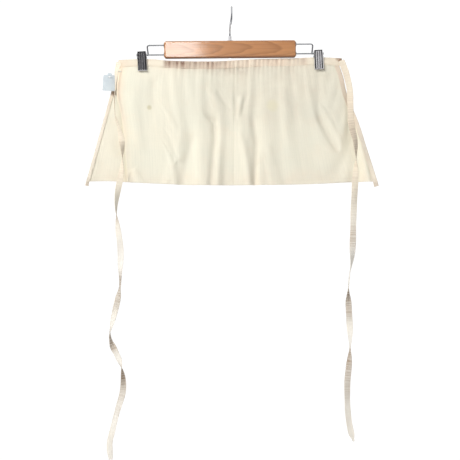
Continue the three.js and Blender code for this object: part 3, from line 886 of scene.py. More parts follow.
def add_arm(side, name):
    """A wire arm: an upper leg, an end leg bent down from it, and a lower leg, the clip's axle."""
    low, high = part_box(name + "_arm_wire")
    inner, outer = (low.x, high.x) if side > 0 else (high.x, low.x)
    top_z, low_z = high.z - WIRE_R, low.z + WIRE_R
    top_x, bottom_x = MID_X + side * END_LEG_TOP, MID_X + side * END_LEG_BOTTOM
    corner = np.array([top_x, 0, top_z])
    before = corner - [side * ARM_BEND, 0, 0]
    after = corner - [side * END_LEG_SLOPE * ARM_BEND, 0, ARM_BEND]
    t = np.linspace(0, 1, 9)[:, None]
    curve = (1 - t) ** 2 * before + 2 * t * (1 - t) * corner + t**2 * after
    route = np.vstack([[[inner, 0, top_z]], curve, [[bottom_x, 0, low_z]]])
    upper = wire(name + "_arm_a", even_line(route, 1.5 * MM), WIRE_R, (0, 1, 0), CHROME, "chrome_wire")
    lower_line = even_line(np.array([[inner, 0, low_z], [outer, 0, low_z]]), 4 * MM)
    lower = wire(name + "_arm_b", lower_line, WIRE_R, (0, 1, 0), CHROME, "chrome_wire")
    half_bead = [(0.2, 2.1), (1.62, 1.9), (1.95, 0.9)]
    bead = np.array([(r, -x) for r, x in half_bead] + [(2.05, 0)] + half_bead[::-1])
    weld = turned(name + "_weld", bead * MM, (bottom_x, 0, low_z), "x", CHROME, "chrome_wire", 20)
    arm = joined(name + "_wire_arm", [upper, lower, weld])
    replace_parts(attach(arm, name + "_arm"), name + "_arm_wire")


add_hook()
add_ferrule()
add_bar()
add_arm(-1, "left")
add_arm(1, "right")

# ---- Clips, each made about the arm's lower leg and then leaned with it ----
CLIP_LEAN = math.radians(2.5)
CLIP_HALF = 9 * MM
SHEET_METAL = 1 * MM
PIN_DROP = 5.9 * MM
JAW_PROFILE = np.array([[7.4, 6.6], [5.2, -4], [3.5, -13], [3.5, -30.6], [4.6, -32.4]]) * MM
RIBS = np.array([-4.2, 0, 4.2]) * MM
RIB_HALF = 1.25 * MM
RIB_RISE = 0.75 * MM
CLIP_OUT, CLIP_UP = 176.5 * MM, -92.6 * MM  # the clip's axle, from the bar's middle and the origin
AXLE_HOLE = (0, 2.3 * MM)  # height from the axle, and radius
EAR_WALL, EAR_NOSE = 5.4 * MM, 1.4 * MM


def clip_points(local, centre):
    """Points made about the clip's axle, leaned and put in place."""
    return tilted(np.asarray(local, float).reshape(-1, 3), CLIP_LEAN) + centre


def jaw_profile():
    """The plate's inner line down from the finger tab: distance from the cloth, height, way out."""
    corners = JAW_PROFILE
    line = []
    for k, (y, z) in enumerate(corners):
        if 0 < k < len(corners) - 1:
            back, ahead = unit(corners[k - 1] - corners[k]), unit(corners[k + 1] - corners[k])
            reach = min(2.2 * MM, 0.35 * np.linalg.norm(corners[k + 1] - corners[k]))
            start, end = corners[k] + back * reach, corners[k] + ahead * reach
            for t in np.linspace(0, 1, 6):
                line.append((1 - t) ** 2 * start + 2 * t * (1 - t) * corners[k] + t**2 * end)
        else:
            line.append((y, z))
    return np.array(line)


def plate(name, face, centre, ribbed):
    """A pressed jaw plate with rolled edges: the front's, face -1, has ribs; the back's is face +1."""
    line = jaw_profile()
    dense = even_line(np.column_stack([line, np.zeros(len(line))]), 0.55 * MM)[:, :2]
    along = np.linspace(0, 1, len(dense))
    ways = unit(np.gradient(dense, axis=0))
    outs = np.column_stack([-ways[:, 1], ways[:, 0]])
    across = np.linspace(-1, 1, 73)
    x = CLIP_HALF * np.sign(across) * np.abs(across) ** 0.96
    rib = sum(np.clip(1 - ((x - r) / RIB_HALF) ** 2, 0, 1) ** 0.75 for r in RIBS) * RIB_RISE * ribbed
    fade = smoothstep(0.02, 0.09, along) * falling(0.90, 0.95, along)
    roll = 0.35 * MM * (np.abs(across) ** 14)
    narrow = 1 - 0.06 * falling(0.0, 0.35, along) + 0.03 * smoothstep(0.9, 1.0, along)
    outer, inner = [], []
    for (y, z), (oy, oz), f, n in zip(dense, outs, fade, narrow):
        rise = SHEET_METAL + rib * f - roll
        outer.append(np.column_stack([x * n, face * (y + oy * rise), z + oz * rise]))
        sunk = -roll * 0.4
        inner.append(np.column_stack([x * n, face * (y + oy * sunk), z + oz * sunk]))
    outer, inner = np.array(outer), np.array(inner)
    loop = np.concatenate([outer, inner[:, ::-1]], axis=1)
    points, faces = clip_points(loop, centre), slab_faces(*outer.shape[:2])
    piece = faced_outward(object_from(name, points, faces, CLIP_PLATE, "clip_metal"))
    return sharpened(piece, 48)


def ear_plate(name, face, reach, top, bottom, holes, x_outer, centre):
    """A side ear with rounded nose and its holes, drilled by boolean."""
    front = reach - EAR_NOSE
    outline = [(face * EAR_WALL, bottom), (face * (EAR_WALL + 0.4 * MM), top), (-face * front, top)]
    arc = np.radians(np.linspace(90, 0, 5))[1:]
    nose = [(-face * (front + EAR_NOSE * math.cos(a)), EAR_NOSE * (math.sin(a) - 1)) for a in arc]
    outline += [(y, top + drop) for y, drop in nose]
    outline += [(y, bottom - drop) for y, drop in nose[::-1]]
    outline.append((-face * front, bottom))
    inner_x = x_outer - math.copysign(SHEET_METAL, x_outer)
    points = [(x, y, z) for x in (inner_x, x_outer) for y, z in outline]
    faces = tube_faces(2, len(outline))
    ear = faced_outward(object_from(name, points, faces, CLIP_PLATE, "clip_metal", smooth=False))
    drills = [drill(name + "_hole", (x_outer, 0, z), radius, 6 * MM, "x") for z, radius in holes]
    return sharpened(reshaped(drilled(ear, drills), lambda places: clip_points(places, centre)), 40)


def add_clip(side, name):
    """A clip: two jaw plates with their ears, the pivot pin, the spring and two rubber pads."""
    centre = np.array([MID_X + side * CLIP_OUT, 0, CLIP_UP])
    pin_hole = (-PIN_DROP, 1.3 * MM)
    back_ear = (2.9 * MM, 3.6 * MM, -PIN_DROP - 3.4 * MM, [AXLE_HOLE, pin_hole])
    front_ear = (2.6 * MM, -PIN_DROP + 2.7 * MM, -PIN_DROP - 2.7 * MM, [pin_hole])
    back = [plate(name + "_back", 1, centre, False)]
    front = [plate(name + "_front", -1, centre, True)]
    for x in (-1, 1):
        back.append(ear_plate(name + "_back_ear", 1, *back_ear, x * CLIP_HALF, centre))
        front.append(ear_plate(name + "_front_ear", -1, *front_ear, x * (CLIP_HALF - 1.5 * MM), centre))
    back = joined(name + "_back_jaw", back)
    front = joined(name + "_front_jaw", front)
    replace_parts(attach(back, name + "_clip"), name + "_clip_back_plate")
    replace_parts(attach(front, name + "_jaw"), name + "_clip_front_plate")
    add_pin(name, centre)
    add_spring(name, centre)
    for label, face, body in (("front", -1, "jaw"), ("back", 1, "clip")):
        add_pad(name, label, face, body, centre)


def add_pin(name, centre):
    """The pivot pin, with a riveted head past each ear of the clip."""
    head = [(1.0, 0.3), (1.8, 0.3), (1.75, 0.8), (1.3, 1.1), (0.05, 1.1)]
    half = [(radius * MM, CLIP_HALF + past * MM) for radius, past in head]
    profile = [(radius, -x) for radius, x in half[::-1]] + half
    pin = turned(name + "_pivot_pin", profile, (0, 0, -PIN_DROP), "x", ZINC, "zinc_steel", 24)
    reshaped(pin, lambda places: clip_points(places, centre))
    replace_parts(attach(sharpened(pin, 40), name + "_clip"), name + "_clip_pin")


def add_spring(name, centre):
    """The coil and its back leg stay with the clip; the front leg winds round with the front jaw."""
    half, coil = 4.6 * MM, 2.1 * MM
    all_turns = 2 * math.pi * 4.5

    def wound(start, end, count):
        angle = np.linspace(start, end, count)
        along = 2 * half * angle / all_turns - half
        height = coil * np.sin(math.pi + angle) - PIN_DROP
        return np.column_stack([along, coil * np.cos(math.pi + angle), height])

    def spring_wire(piece_name, route, radius):
        line = clip_points(smooth_line(route, 2), centre)
        return wire(name + piece_name, line, radius, (0, 1, 0), ZINC, "zinc_steel", 10)

    leg = np.array([[-half, -5.3 * MM, -PIN_DROP + 7 * MM], [-half, -3.4 * MM, -PIN_DROP + 3.2 * MM]])
    coil_route = np.vstack([wound(math.radians(50), all_turns, 120), leg[::-1] * [-1, -1, 1]])
    leg_route = np.vstack([leg, wound(0, math.radians(75), 8)])
    spring = spring_wire("_torsion_spring", coil_route, 0.4 * MM)
    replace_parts(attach(spring, name + "_clip"), name + "_clip_spring")
    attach(spring_wire("_spring_front_leg", leg_route, 0.41 * MM), name + "_jaw")


def add_pad(name, label, face, body, centre):
    """A rubber pad with eased edges and cross grooves on its gripping face."""
    width, height, top, near, far = 15 * MM, 13 * MM, -18.5 * MM, 1.9 * MM, 3.2 * MM
    rows, columns = 40, 24
    u, v = np.meshgrid(np.linspace(-1, 1, columns), np.linspace(0, 1, rows))
    ease = 0.5 * MM * (np.abs(u) ** 16 + np.abs(2 * v - 1) ** 20)
    groove = 0.22 * MM * (np.cos(2 * math.pi * v * 6) > 0.4)
    grip = np.stack([u * width / 2, face * (near + ease + groove), top - v * height], axis=-1)
    back = np.stack([u * width / 2, face * np.full_like(u, far), top - v * height], axis=-1)
    points = clip_points(np.concatenate([grip, back[:, ::-1]], axis=1), centre)
    faces = slab_faces(rows, columns)
    pad = object_from(f"{name}_{label}_grip", points, faces, RUBBER, "pad_rubber")
    pad = sharpened(faced_outward(pad), 30)
    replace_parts(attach(pad, f"{name}_{body}"), f"{name}_clip_{label}_pad")


add_clip(-1, "left")
add_clip(1, "right")

for node_name in nodes:
    if node_name.endswith(("_bush", "_collar", "_washer", "hook_nut")):
        nodes[node_name].data.materials.clear()
        nodes[node_name].data.materials.append(ZINC)

# ---- Apron cloth: one hanging surface, worked out in millimetres from the middle of the bar ----
# Across, s runs 0 to 1 over the flat cut: a flap, a narrow layer tucked behind the front, and the front.
FLAP_S = 0.147
TUCK_S = 0.169
SEAM_S = 0.505
FLAT_WIDTH = 0.64
FLAT_DEPTH = 0.245
CLOTH_THICK = 0.7 * MM
HEM_GAP = 1.3 * MM  # between the cloth and its turned-up hem
SEAM_OVERLAP = (0.55 * MM, 0.2 * MM)  # how the right panel laps the left one, across and forwards
BAND_BOTTOM_MM = BAND_BOTTOM / MM
INSIDE_BAND = 4  # how far the skirt goes up into the waistband
BAND_END = 223  # how far the waistband's ends are from its middle
LEFT_EDGE = [(0, -222), (1, -289)]
RIGHT_EDGE = [(0, 215), (0.11, 224), (0.24, 230.5), (0.33, 238), (0.465, 251), (0.725, 270.5), (1, 290)]
FOLD_EDGE = [(0, -221), (0.06, -224), (0.27, -228.5), (0.38, -223), (0.70, -214), (1, -210)]
TUCK_DEPTH = [(0, 2), (0.2, 9), (1, 14)]
HEM = [
    (-290, -343.5), (-246, -343.2), (-205, -346), (-126, -350), (0, -352.4), (140, -352), (250, -349),
    (292, -349),
]
BAND_LIFT = [
    (-223, 1.2), (-196, 2.6), (-150, 2.2), (-124, -0.6), (-100, -1.7), (-28, -2.8), (20, -0.8), (60, 1.0),
    (92, 1.5), (128, 1.9), (150, 3.0), (176, 3.5), (205, 2.2), (223, 1.0),
]
GATHER_FROM, GATHER_TO = -134.0, 154.0
CREASE_OPEN_END = -330.0  # a crease that goes lower than this runs out through the hem
# Soft creases: rise towards the front in mm (negative for a valley), half width, then x, z points.
CREASES = [
    (3.6, 7.0, [(-56, -168), (-38, -188), (-19, -208), (-19.5, -236), (-24, -284), (-27, -356)]),
    (-4.2, 6.0, [(-63, -196), (-50, -212), (-31, -224), (-30, -256), (-35, -300), (-40, -356)]),
    (3.2, 6.5, [(6, -236), (24, -268), (33, -310), (39, -356)]),
    (-3.8, 6.5, [(38, -206), (47, -240), (52, -268), (50, -310), (47, -350)]),
    (-3.0, 8.0, [(-70, -238), (-84, -286), (-104, -352)]),
    (2.6, 9.0, [(-92, -226), (-112, -300), (-128, -354)]),
    (2.4, 8.0, [(70, -262), (84, -306), (98, -356)]),
    (-2.0, 8.0, [(60, -280), (68, -320), (74, -356)]),
    (1.8, 4.5, [(-48, -156), (-28, -184), (-9, -206)]),
    (-1.8, 4.0, [(-30, -158), (-12, -186), (6, -210)]),
    (-1.6, 3.6, [(9, -168), (11, -200), (10, -232)]),
    (1.8, 4.0, [(24, -172), (18, -200), (12, -224)]),
    (-1.3, 4.6, [(38, -160), (30, -188), (18, -216)]),
    (2.8, 5.0, [(176, -190), (198, -226), (214, -258), (229, -290)]),
    (-2.6, 5.5, [(168, -206), (190, -240), (208, -276), (220, -306)]),
    (1.6, 7.0, [(150, -160), (172, -196), (186, -214)]),
    (-1.7, 5.0, [(222, -128), (232, -170), (243, -220), (252, -290), (258, -350)]),
    (2.0, 4.5, [(240, -214), (256, -260), (268, -310), (276, -352)]),
    (-2.0, 4.5, [(262, -250), (276, -310), (282, -348)]),
    (2.0, 5.0, [(-196, -318), (-186, -336), (-178, -348)]),
    (-1.8, 5.0, [(-206, -330), (-194, -350)]),
    (-1.6, 9.0, [(-150, -130), (-156, -170), (-150, -220)]),
    (1.8, 10.0, [(-196, -150), (-190, -220), (-176, -300)]),
    (-1.4, 8.0, [(120, -130), (128, -180), (132, -250)]),
    (1.4, 9.0, [(104, -140), (106, -200), (112, -280)]),
]


def fabric_places():
    """Where the grid's columns (s) and rows (v) lie, closer together at the folded edge."""
    across = np.concatenate([
        np.linspace(0, FLAP_S - 0.012, 22, endpoint=False),
        np.linspace(FLAP_S - 0.012, TUCK_S + 0.014, 30, endpoint=False),
        np.linspace(TUCK_S + 0.014, SEAM_S, 104, endpoint=False),
        np.linspace(SEAM_S, 1, 150),
    ])
    return across, np.linspace(0, 1, 62)


ACROSS, DOWN = fabric_places()


def gather_ridges():
    """Small pleats sewn into the waistband: place, height, half width and how far down they last."""
    places = np.arange(GATHER_FROM, GATHER_TO, 8.6)
    places = places + RNG.uniform(-2.2, 2.2, len(places))
    fullness = np.sin(np.clip((places - GATHER_FROM) / (GATHER_TO - GATHER_FROM), 0, 1) * math.pi) ** 0.4
    return np.column_stack([
        places,
        RNG.uniform(0.8, 1.9, len(places)) * fullness,
        RNG.uniform(2.1, 3.3, len(places)),
        RNG.uniform(6, 18, len(places)),
    ])


GATHERS = gather_ridges()


def in_place(points):
    """Points in metres, from millimetres about the middle of the bar."""
    return points * MM + np.array([MID_X, 0, 0])


def gathered(x, below):
    """How far the gathers push the cloth out at x, a distance below the band's seam."""
    out = np.zeros(np.broadcast(x, below).shape)
    for place, height, width, reach in GATHERS:
        out += height * bell(x - place, width) * np.exp(-np.maximum(below, 0) / reach)
    return out


def crease_height(x, z, width, points):
    """1 on the crease's line, falling to 0 off it and towards its ends."""
    best = np.full(x.shape, np.inf)
    at = np.zeros(x.shape)
    points = np.array(points, float)
    before = distances(points)
    for (ax, az), (bx, bz), start, end in zip(points, points[1:], before, before[1:]):
        length = end - start
        t = np.clip(((x - ax) * (bx - ax) + (z - az) * (bz - az)) / length**2, 0, 1)
        far = np.hypot(x - ax - t * (bx - ax), z - az - t * (bz - az))
        nearer = far < best
        best = np.where(nearer, far, best)
        at = np.where(nearer, (start + t * length) / before[-1], at)
    stops_short = points[-1][1] > CREASE_OPEN_END
    fade_out = falling(0.72, 1.0, at) if stops_short else 1.0
    return bell(best, width) * smoothstep(0, 0.22, at) * fade_out


def band_seam(x):
    """The height of the waistband's lower edge at x."""
    return BAND_BOTTOM_MM + through(BAND_LIFT, np.clip(x, -BAND_END, BAND_END))


def smoothed_across(values, sigma):
    """Values smoothed along the columns near the folds, and left alone at the side edges."""
    weights = np.exp(-((ACROSS[:, None] - ACROSS[None]) ** 2) / (2 * sigma**2)) * np.gradient(ACROSS)[None]
    soft = values @ (weights / weights.sum(1, keepdims=True)).T
    keep = (smoothstep(0.0, 0.03, ACROSS) * falling(0.24, 0.30, ACROSS))[None]
    return soft * keep + values * (1 - keep)


def skirt_surface():
    """The hanging cloth before the simulation, as rows by columns points in millimetres."""
    s, v = np.meshgrid(ACROSS, DOWN)
    left, right, fold, tuck = (through(edge, v) for edge in (LEFT_EDGE, RIGHT_EDGE, FOLD_EDGE, TUCK_DEPTH))
    seam = 10 - 5 * v
    flap = left + (fold + tuck - left) * s / FLAP_S
    layer = fold + tuck * (TUCK_S - s) / (TUCK_S - FLAP_S)
    front_left = fold + (seam - fold) * (s - TUCK_S) / (SEAM_S - TUCK_S)
    front_right = seam + (right - seam) * (s - SEAM_S) / (1 - SEAM_S)
    x = np.select([s < FLAP_S, s < TUCK_S, s < SEAM_S], [flap, layer, front_left], front_right)
    apart = np.minimum(1, v / 0.14)
    behind = 3.6 * apart * (1 - s / FLAP_S * 0.15)
    ahead = -3.4 * apart * bell(s - TUCK_S, 0.11)
    middle = ahead + (behind - ahead) * (TUCK_S - s) / (TUCK_S - FLAP_S)
    y = np.select([s < FLAP_S, s < TUCK_S], [behind, middle], ahead)
    x, y = smoothed_across(x, 0.0042), smoothed_across(y, 0.0042)

    top = band_seam(x) + INSIDE_BAND
    z = top + (through(HEM, x) - top) * v
    below = band_seam(x) - z
    front = smoothstep(TUCK_S - 0.004, TUCK_S + 0.02, s)
    free = smoothstep(0, 45, below)
    # The cloth leans back, its gathers run out below the band, and it waves more towards the hem.
    y = y + 2.4 * v
    y -= front * gathered(x, below)
    y += 2.4 * bell(x + 12, 46) * bell(below - 6, 6.5)
    y += free * v * (2.6 * np.sin(x / 24.0 + 0.6) + 1.6 * np.sin(x / 13.5 + 2.2)) * 0.55
    y += free * 1.4 * np.sin(x / 34.0 + z / 60.0)
    for rise, width, points in CREASES:
        y -= front * 1.1 * rise * crease_height(x, z, 1.25 * width, points)
    y += 0.3 * bell(s - SEAM_S, 0.0035)
    y += (1 - front) * v * 1.8 * np.sin((x + 290) / 15.0)
    # The right edge's lower corner swings forwards.
    y -= 11 * smoothstep(232, 292, x) * v
    return np.stack([x, y, z], axis=-1)


HANG_FRAMES = 30
MOST_MOVED = 5.0  # millimetres


def simulate(surface):
    """The cloth's own small wrinkles: it hangs a little slack between its band, bindings and fold."""
    rows, columns = (np.union1d(np.arange(0, n, 2), [n - 1]) for n in (len(DOWN), len(ACROSS)))
    coarse = surface[np.ix_(rows, columns)]
    faces = grid_faces(len(rows), len(columns))
    cloth = object_from("cloth_trial", coarse * MM, faces, COTTON, "cotton")
    s, v = np.meshgrid(ACROSS[columns], DOWN[rows])
    held = np.maximum.reduce([falling(0.0, 0.05, v), falling(0.24, 0.34, s), smoothstep(0.95, 0.985, s)])
    pins = cloth.vertex_groups.new(name="held")
    for index, weight in enumerate(held.ravel()):
        if weight > 0:
            pins.add([index], float(weight), "REPLACE")
    settings = cloth.modifiers.new("cloth", "CLOTH").settings
    settings.quality = 5
    settings.mass = 0.16
    settings.tension_stiffness = settings.compression_stiffness = 22
    settings.shear_stiffness = 9
    settings.bending_stiffness = 4
    settings.air_damping = 2
    settings.vertex_group_mass = "held"
    settings.pin_stiffness = 2
    settings.shrink_min = -0.004
    scene = bpy.context.scene
    for number in range(1, HANG_FRAMES + 1):
        scene.frame_set(number)
    hung = cloth.evaluated_get(bpy.context.evaluated_depsgraph_get())
    places = np.zeros(len(coarse.reshape(-1, 3)) * 3, np.float32)
    hung.data.vertices.foreach_get("co", places)
    moved = places.reshape(coarse.shape).astype(float) / MM - coarse
    bpy.data.objects.remove(cloth)
    scene.frame_set(1)
    size = np.linalg.norm(moved, axis=-1, keepdims=True)
    moved *= np.minimum(1, MOST_MOVED / np.maximum(size, 1e-9))
    finer = np.apply_along_axis(lambda row: np.interp(ACROSS, ACROSS[columns], row), 1, moved)
    return np.apply_along_axis(lambda column: np.interp(DOWN, DOWN[rows], column), 0, finer)


def skirt_tints(surface):
    """Painted shade in the gathers, under the band, in the valley creases, beside the left tie and over the
    right half; darker on the flap; and a blush along the folded edge, right side and hem, with peach painted
    shade under the band.
    """
    x, _, z = np.moveaxis(surface, -1, 0)
    s, v = np.meshgrid(ACROSS, DOWN)
    below = np.maximum(band_seam(x) - z, 0)
    at_fold = (s - TUCK_S) * FLAT_WIDTH / MM
    in_gathers = smoothstep(GATHER_FROM, -110, x) * falling(110, GATHER_TO, x)
    # Painted shade in the valleys between the gathers just under the band.
    grime = 0.22 * np.exp(-gathered(x, below) / 0.5) * in_gathers * np.exp(-below / 9)
    # Painted shade where the cloth sags back under the band's middle.
    grime += 0.12 * bell(x - 4, 40) * bell(below - 8, 7)
    # Painted shade along the valley creases.
    for rise, width, points in CREASES:
        if rise < 0:
            grime += 0.028 * -rise * crease_height(x, z, width * 0.8, points)
    # A painted shadow of the left tie, a narrow line beside the folded edge near the top.
    grime += 0.30 * bell(at_fold - 5, 2.2) * smoothstep(0.0, 0.06, v) * falling(0.28, 0.5, v)
    # Darker on the flap and the tucked layer.
    grime += 0.10 * falling(FLAP_S, TUCK_S, s)
    # Painted shade over the right half, more towards the top.
    grime += (0.05 + 0.10 * falling(0.3, 0.65, v)) * smoothstep(-140, 0, x) * falling(205, 245, x)
    blush = 0.55 * bell(at_fold - 4, 8) * (1 - 0.75 * smoothstep(0.3, 0.7, v))
    blush += 0.12 * bell(x - 268 - (z + 280) * 0.05, 5) * smoothstep(0.35, 0.6, v)
    blush += 0.16 * smoothstep(0.82, 0.99, v)
    # Painted shade in peach just under the band.
    blush += 0.25 * np.exp(-below / 7) * falling(150, 200, np.abs(x))
    return np.clip(grime, 0, 1), np.clip(blush, 0, 1)


surface = skirt_surface()
surface = surface + simulate(surface)
SKIRT = in_place(surface)
SKIRT_SHADE, SKIRT_BLUSH = skirt_tints(surface)


def surface_normals(points):
    """Unit normals of a grid of points, towards the back."""
    return unit(np.cross(np.gradient(points, axis=1), np.gradient(points, axis=0)))


def row_back(grid, rows):
    """What a grid holds a number of rows before its last one, between rows if need be."""
    at = len(grid) - 1 - rows
    low = int(math.floor(at))
    share = at - low
    return grid[low] * (1 - share) + grid[min(low + 1, len(grid) - 1)] * share


def last_step(points):
    """How far apart a grid's last two rows are, on average."""
    return np.linalg.norm(points[-1] - points[-2], axis=-1).mean()


def turned_up(points, uv, reach, gap):
    """A grid with its last row turned up behind it, as a hem is: the extra rows follow the cloth."""
    normals, step = surface_normals(points), last_step(points)
    rim = points[-1] + unit(points[-1] - points[-2]) * gap * 0.45
    extra = [rim + normals[-1] * gap * behind for behind in (0.25, 0.75)]
    extra_uv = [uv[-1] + [0, gap], uv[-1] + [0, 1.6 * gap]]
    for up in np.linspace(0, reach, 5):
        extra.append(row_back(points, up / step) + unit(row_back(normals, up / step)) * gap)
        extra_uv.append(uv[-1] + [0, 2 * gap + up])
    return np.concatenate([points, extra]), np.concatenate([uv, extra_uv])


def turned_in(points, uv, facing):
    """Columns given as rows, with the last one turned back behind as a pressed-open seam allowance."""
    normals, step = facing * surface_normals(points), last_step(points)
    gap, reach = 1.1 * MM, 9 * MM
    extra, extra_uv = [points[-1] + normals[-1] * gap * 0.5], [uv[-1] + [gap, 0]]
    for back in np.linspace(0.3 * MM, reach, 5):
        extra.append(row_back(points, back / step) + unit(row_back(normals, back / step)) * gap)
        extra_uv.append(uv[-1] + [back + gap, 0])
    return np.concatenate([points, extra]), np.concatenate([uv, extra_uv])


def columns_as_rows(grid):
    """A grid of points with its rows and columns exchanged."""
    return grid.transpose(1, 0, 2)


def cloth_piece(name, columns, is_left):
    """A skirt panel: its cloth, the seam allowance turned back at the middle and the turned-up hem."""
    s, v = np.meshgrid(ACROSS[columns], DOWN)
    uv = np.stack([s * FLAT_WIDTH, -v * FLAT_DEPTH], axis=-1)
    points = SKIRT[:, columns].copy()
    if not is_left:
        points[:, 0, :2] -= SEAM_OVERLAP
    towards_seam = slice(None) if is_left else slice(None, None, -1)
    points, uv = (columns_as_rows(grid[:, towards_seam]) for grid in (points, uv))
    points, uv = turned_in(points, uv, -1 if is_left else 1)
    points, uv = (columns_as_rows(grid)[:, towards_seam] for grid in (points, uv))
    points, uv = turned_up(points, uv, 8.5 * MM, HEM_GAP)
    tints = {}
    for tint, values in (("grime", SKIRT_SHADE[:, columns]), ("blush", SKIRT_BLUSH[:, columns])):
        rows, extra = np.subtract(points.shape[:2], values.shape)
        sides = (0, extra) if is_left else (extra, 0)
        tints[tint] = np.pad(values, ((0, rows), sides), mode="edge")
    faces = grid_faces(*points.shape[:2])
    cloth = object_from(name, points, faces, COTTON, "cotton", uv, tints=tints)
    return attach(thickened(cloth, CLOTH_THICK), "apron")


# ---- Waistband, a folded strip gathered in its middle and dipping between the clips ----
BAND_HEIGHT, BAND_THICK = 15.0, 3.0
BAND_ROWS = (-5.4, 4.9)  # where its stitching runs, from the middle of its height


def band_front(x):
    """How far the band's face stands out at x, in millimetres: less where the clips grip it."""
    grip = np.exp(-(((np.abs(x) - CLIP_OUT / MM) / 13) ** 4))
    ripple = 0.80 * gathered(x, np.zeros_like(x))
    slow = 0.35 * np.sin(x / 17.0) + 0.25 * np.sin(x / 7.3 + 1)
    calm = 1 - 0.97 * smoothstep(112, 126, np.abs(x))
    return (ripple + slow) * calm * (1 - grip) * falling(214, 222, np.abs(x))


def band_tints(x, heights):
    """Painted shade in the valleys between the gathers, most at the left and the top, and a blush."""
    in_gathers = smoothstep(GATHER_FROM - 4, GATHER_FROM + 8, x) * falling(GATHER_TO - 6, GATHER_TO + 4, x)
    valley = np.exp(-gathered(x, np.zeros_like(x)) / 0.55) * in_gathers
    # Painted shade: darker in the gathers' valleys, at the left, and towards the band's top.
    shade_paint_share = (0.50 + 0.28 * falling(-40, 10, x)) * valley + 0.38 * in_gathers * falling(-30, 30, x)
    grime = shade_paint_share[:, None] * np.clip(0.80 + 0.35 * heights / (BAND_HEIGHT / 2), 0, 1)
    blush = 0.32 + 0.30 * in_gathers - 0.1 * smoothstep(150, 200, x)
    return {"grime": grime, "blush": np.repeat(blush, len(heights))}


def add_waistband():
    """The band as a tube along X, flat and gathered, and its two rows of stitches front and back."""
    half = (BAND_HIGH.x - BAND_LOW.x) / 2 / MM
    x = np.linspace(-half, half, 420)
    turns = np.radians(np.arange(0, 360, 12))
    y0 = BAND_THICK / 2 * np.sign(np.cos(turns)) * np.abs(np.cos(turns)) ** 0.30
    z0 = BAND_HEIGHT / 2 * np.sign(np.sin(turns)) * np.abs(np.sin(turns)) ** 0.75
    middle = BAND_BOTTOM_MM + BAND_HEIGHT / 2 + through(BAND_LIFT, x)
    out = band_front(x)
    end = np.sqrt(np.clip(1 - np.clip((np.abs(x) - half + 2.0) / 2.0, 0, 1) ** 2, 0.02, 1))[:, None]
    stitched = 1 - 0.22 * (np.abs(np.abs(z0) - 5.4) < 0.9)
    face = np.where(np.cos(turns) > 0, 0.25, 1.0) * (1 - 0.5 * (z0 / (BAND_HEIGHT / 2)) ** 2)
    rim = (0.25 * gathered(x, np.zeros_like(x)) - 0.3) * falling(160, 175, np.abs(x))
    y = y0 * stitched * end - out[:, None] * face
    z = middle[:, None] + z0 * (0.96 + 0.04 * end) + rim[:, None] * (np.sin(turns) > 0.5)
    points = in_place(np.stack([np.broadcast_to(x[:, None], y.shape), y, z], axis=-1))
    faces = tube_faces(len(x), len(turns))
    uv = np.stack(np.broadcast_arrays((z0 * MM)[None], (x * MM)[:, None]), axis=-1)
    tints = band_tints(x, z0)
    band = object_from("gathered_waistband", points, faces, BAND_COTTON, "cotton", uv, tints=tints)
    faced_outward(band)
    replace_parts(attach(band, "apron"), "waistband")
    runs = []
    for row in BAND_ROWS:
        for face, depth, follows in ((-1, 1.18, 0.75), (1, 1.08, -0.19)):
            line = in_place(np.column_stack([x, face * (depth + follows * out), middle + row])[6:-6])
            runs.append((line, np.tile([0, face, 0], (len(line), 1))))
    return band, stitches("waistband_stitching", runs, 2.5 * MM, 0.22 * MM, 3.6 * MM)


# ---- Side bindings: narrow strips folded over the side edges, open at the end below the hem ----
BINDING_STEP = 3.8 * MM  # the weave's step from one ring of a binding to the next
BINDING_FLAT = 0.022  # a binding's width when it is unfolded


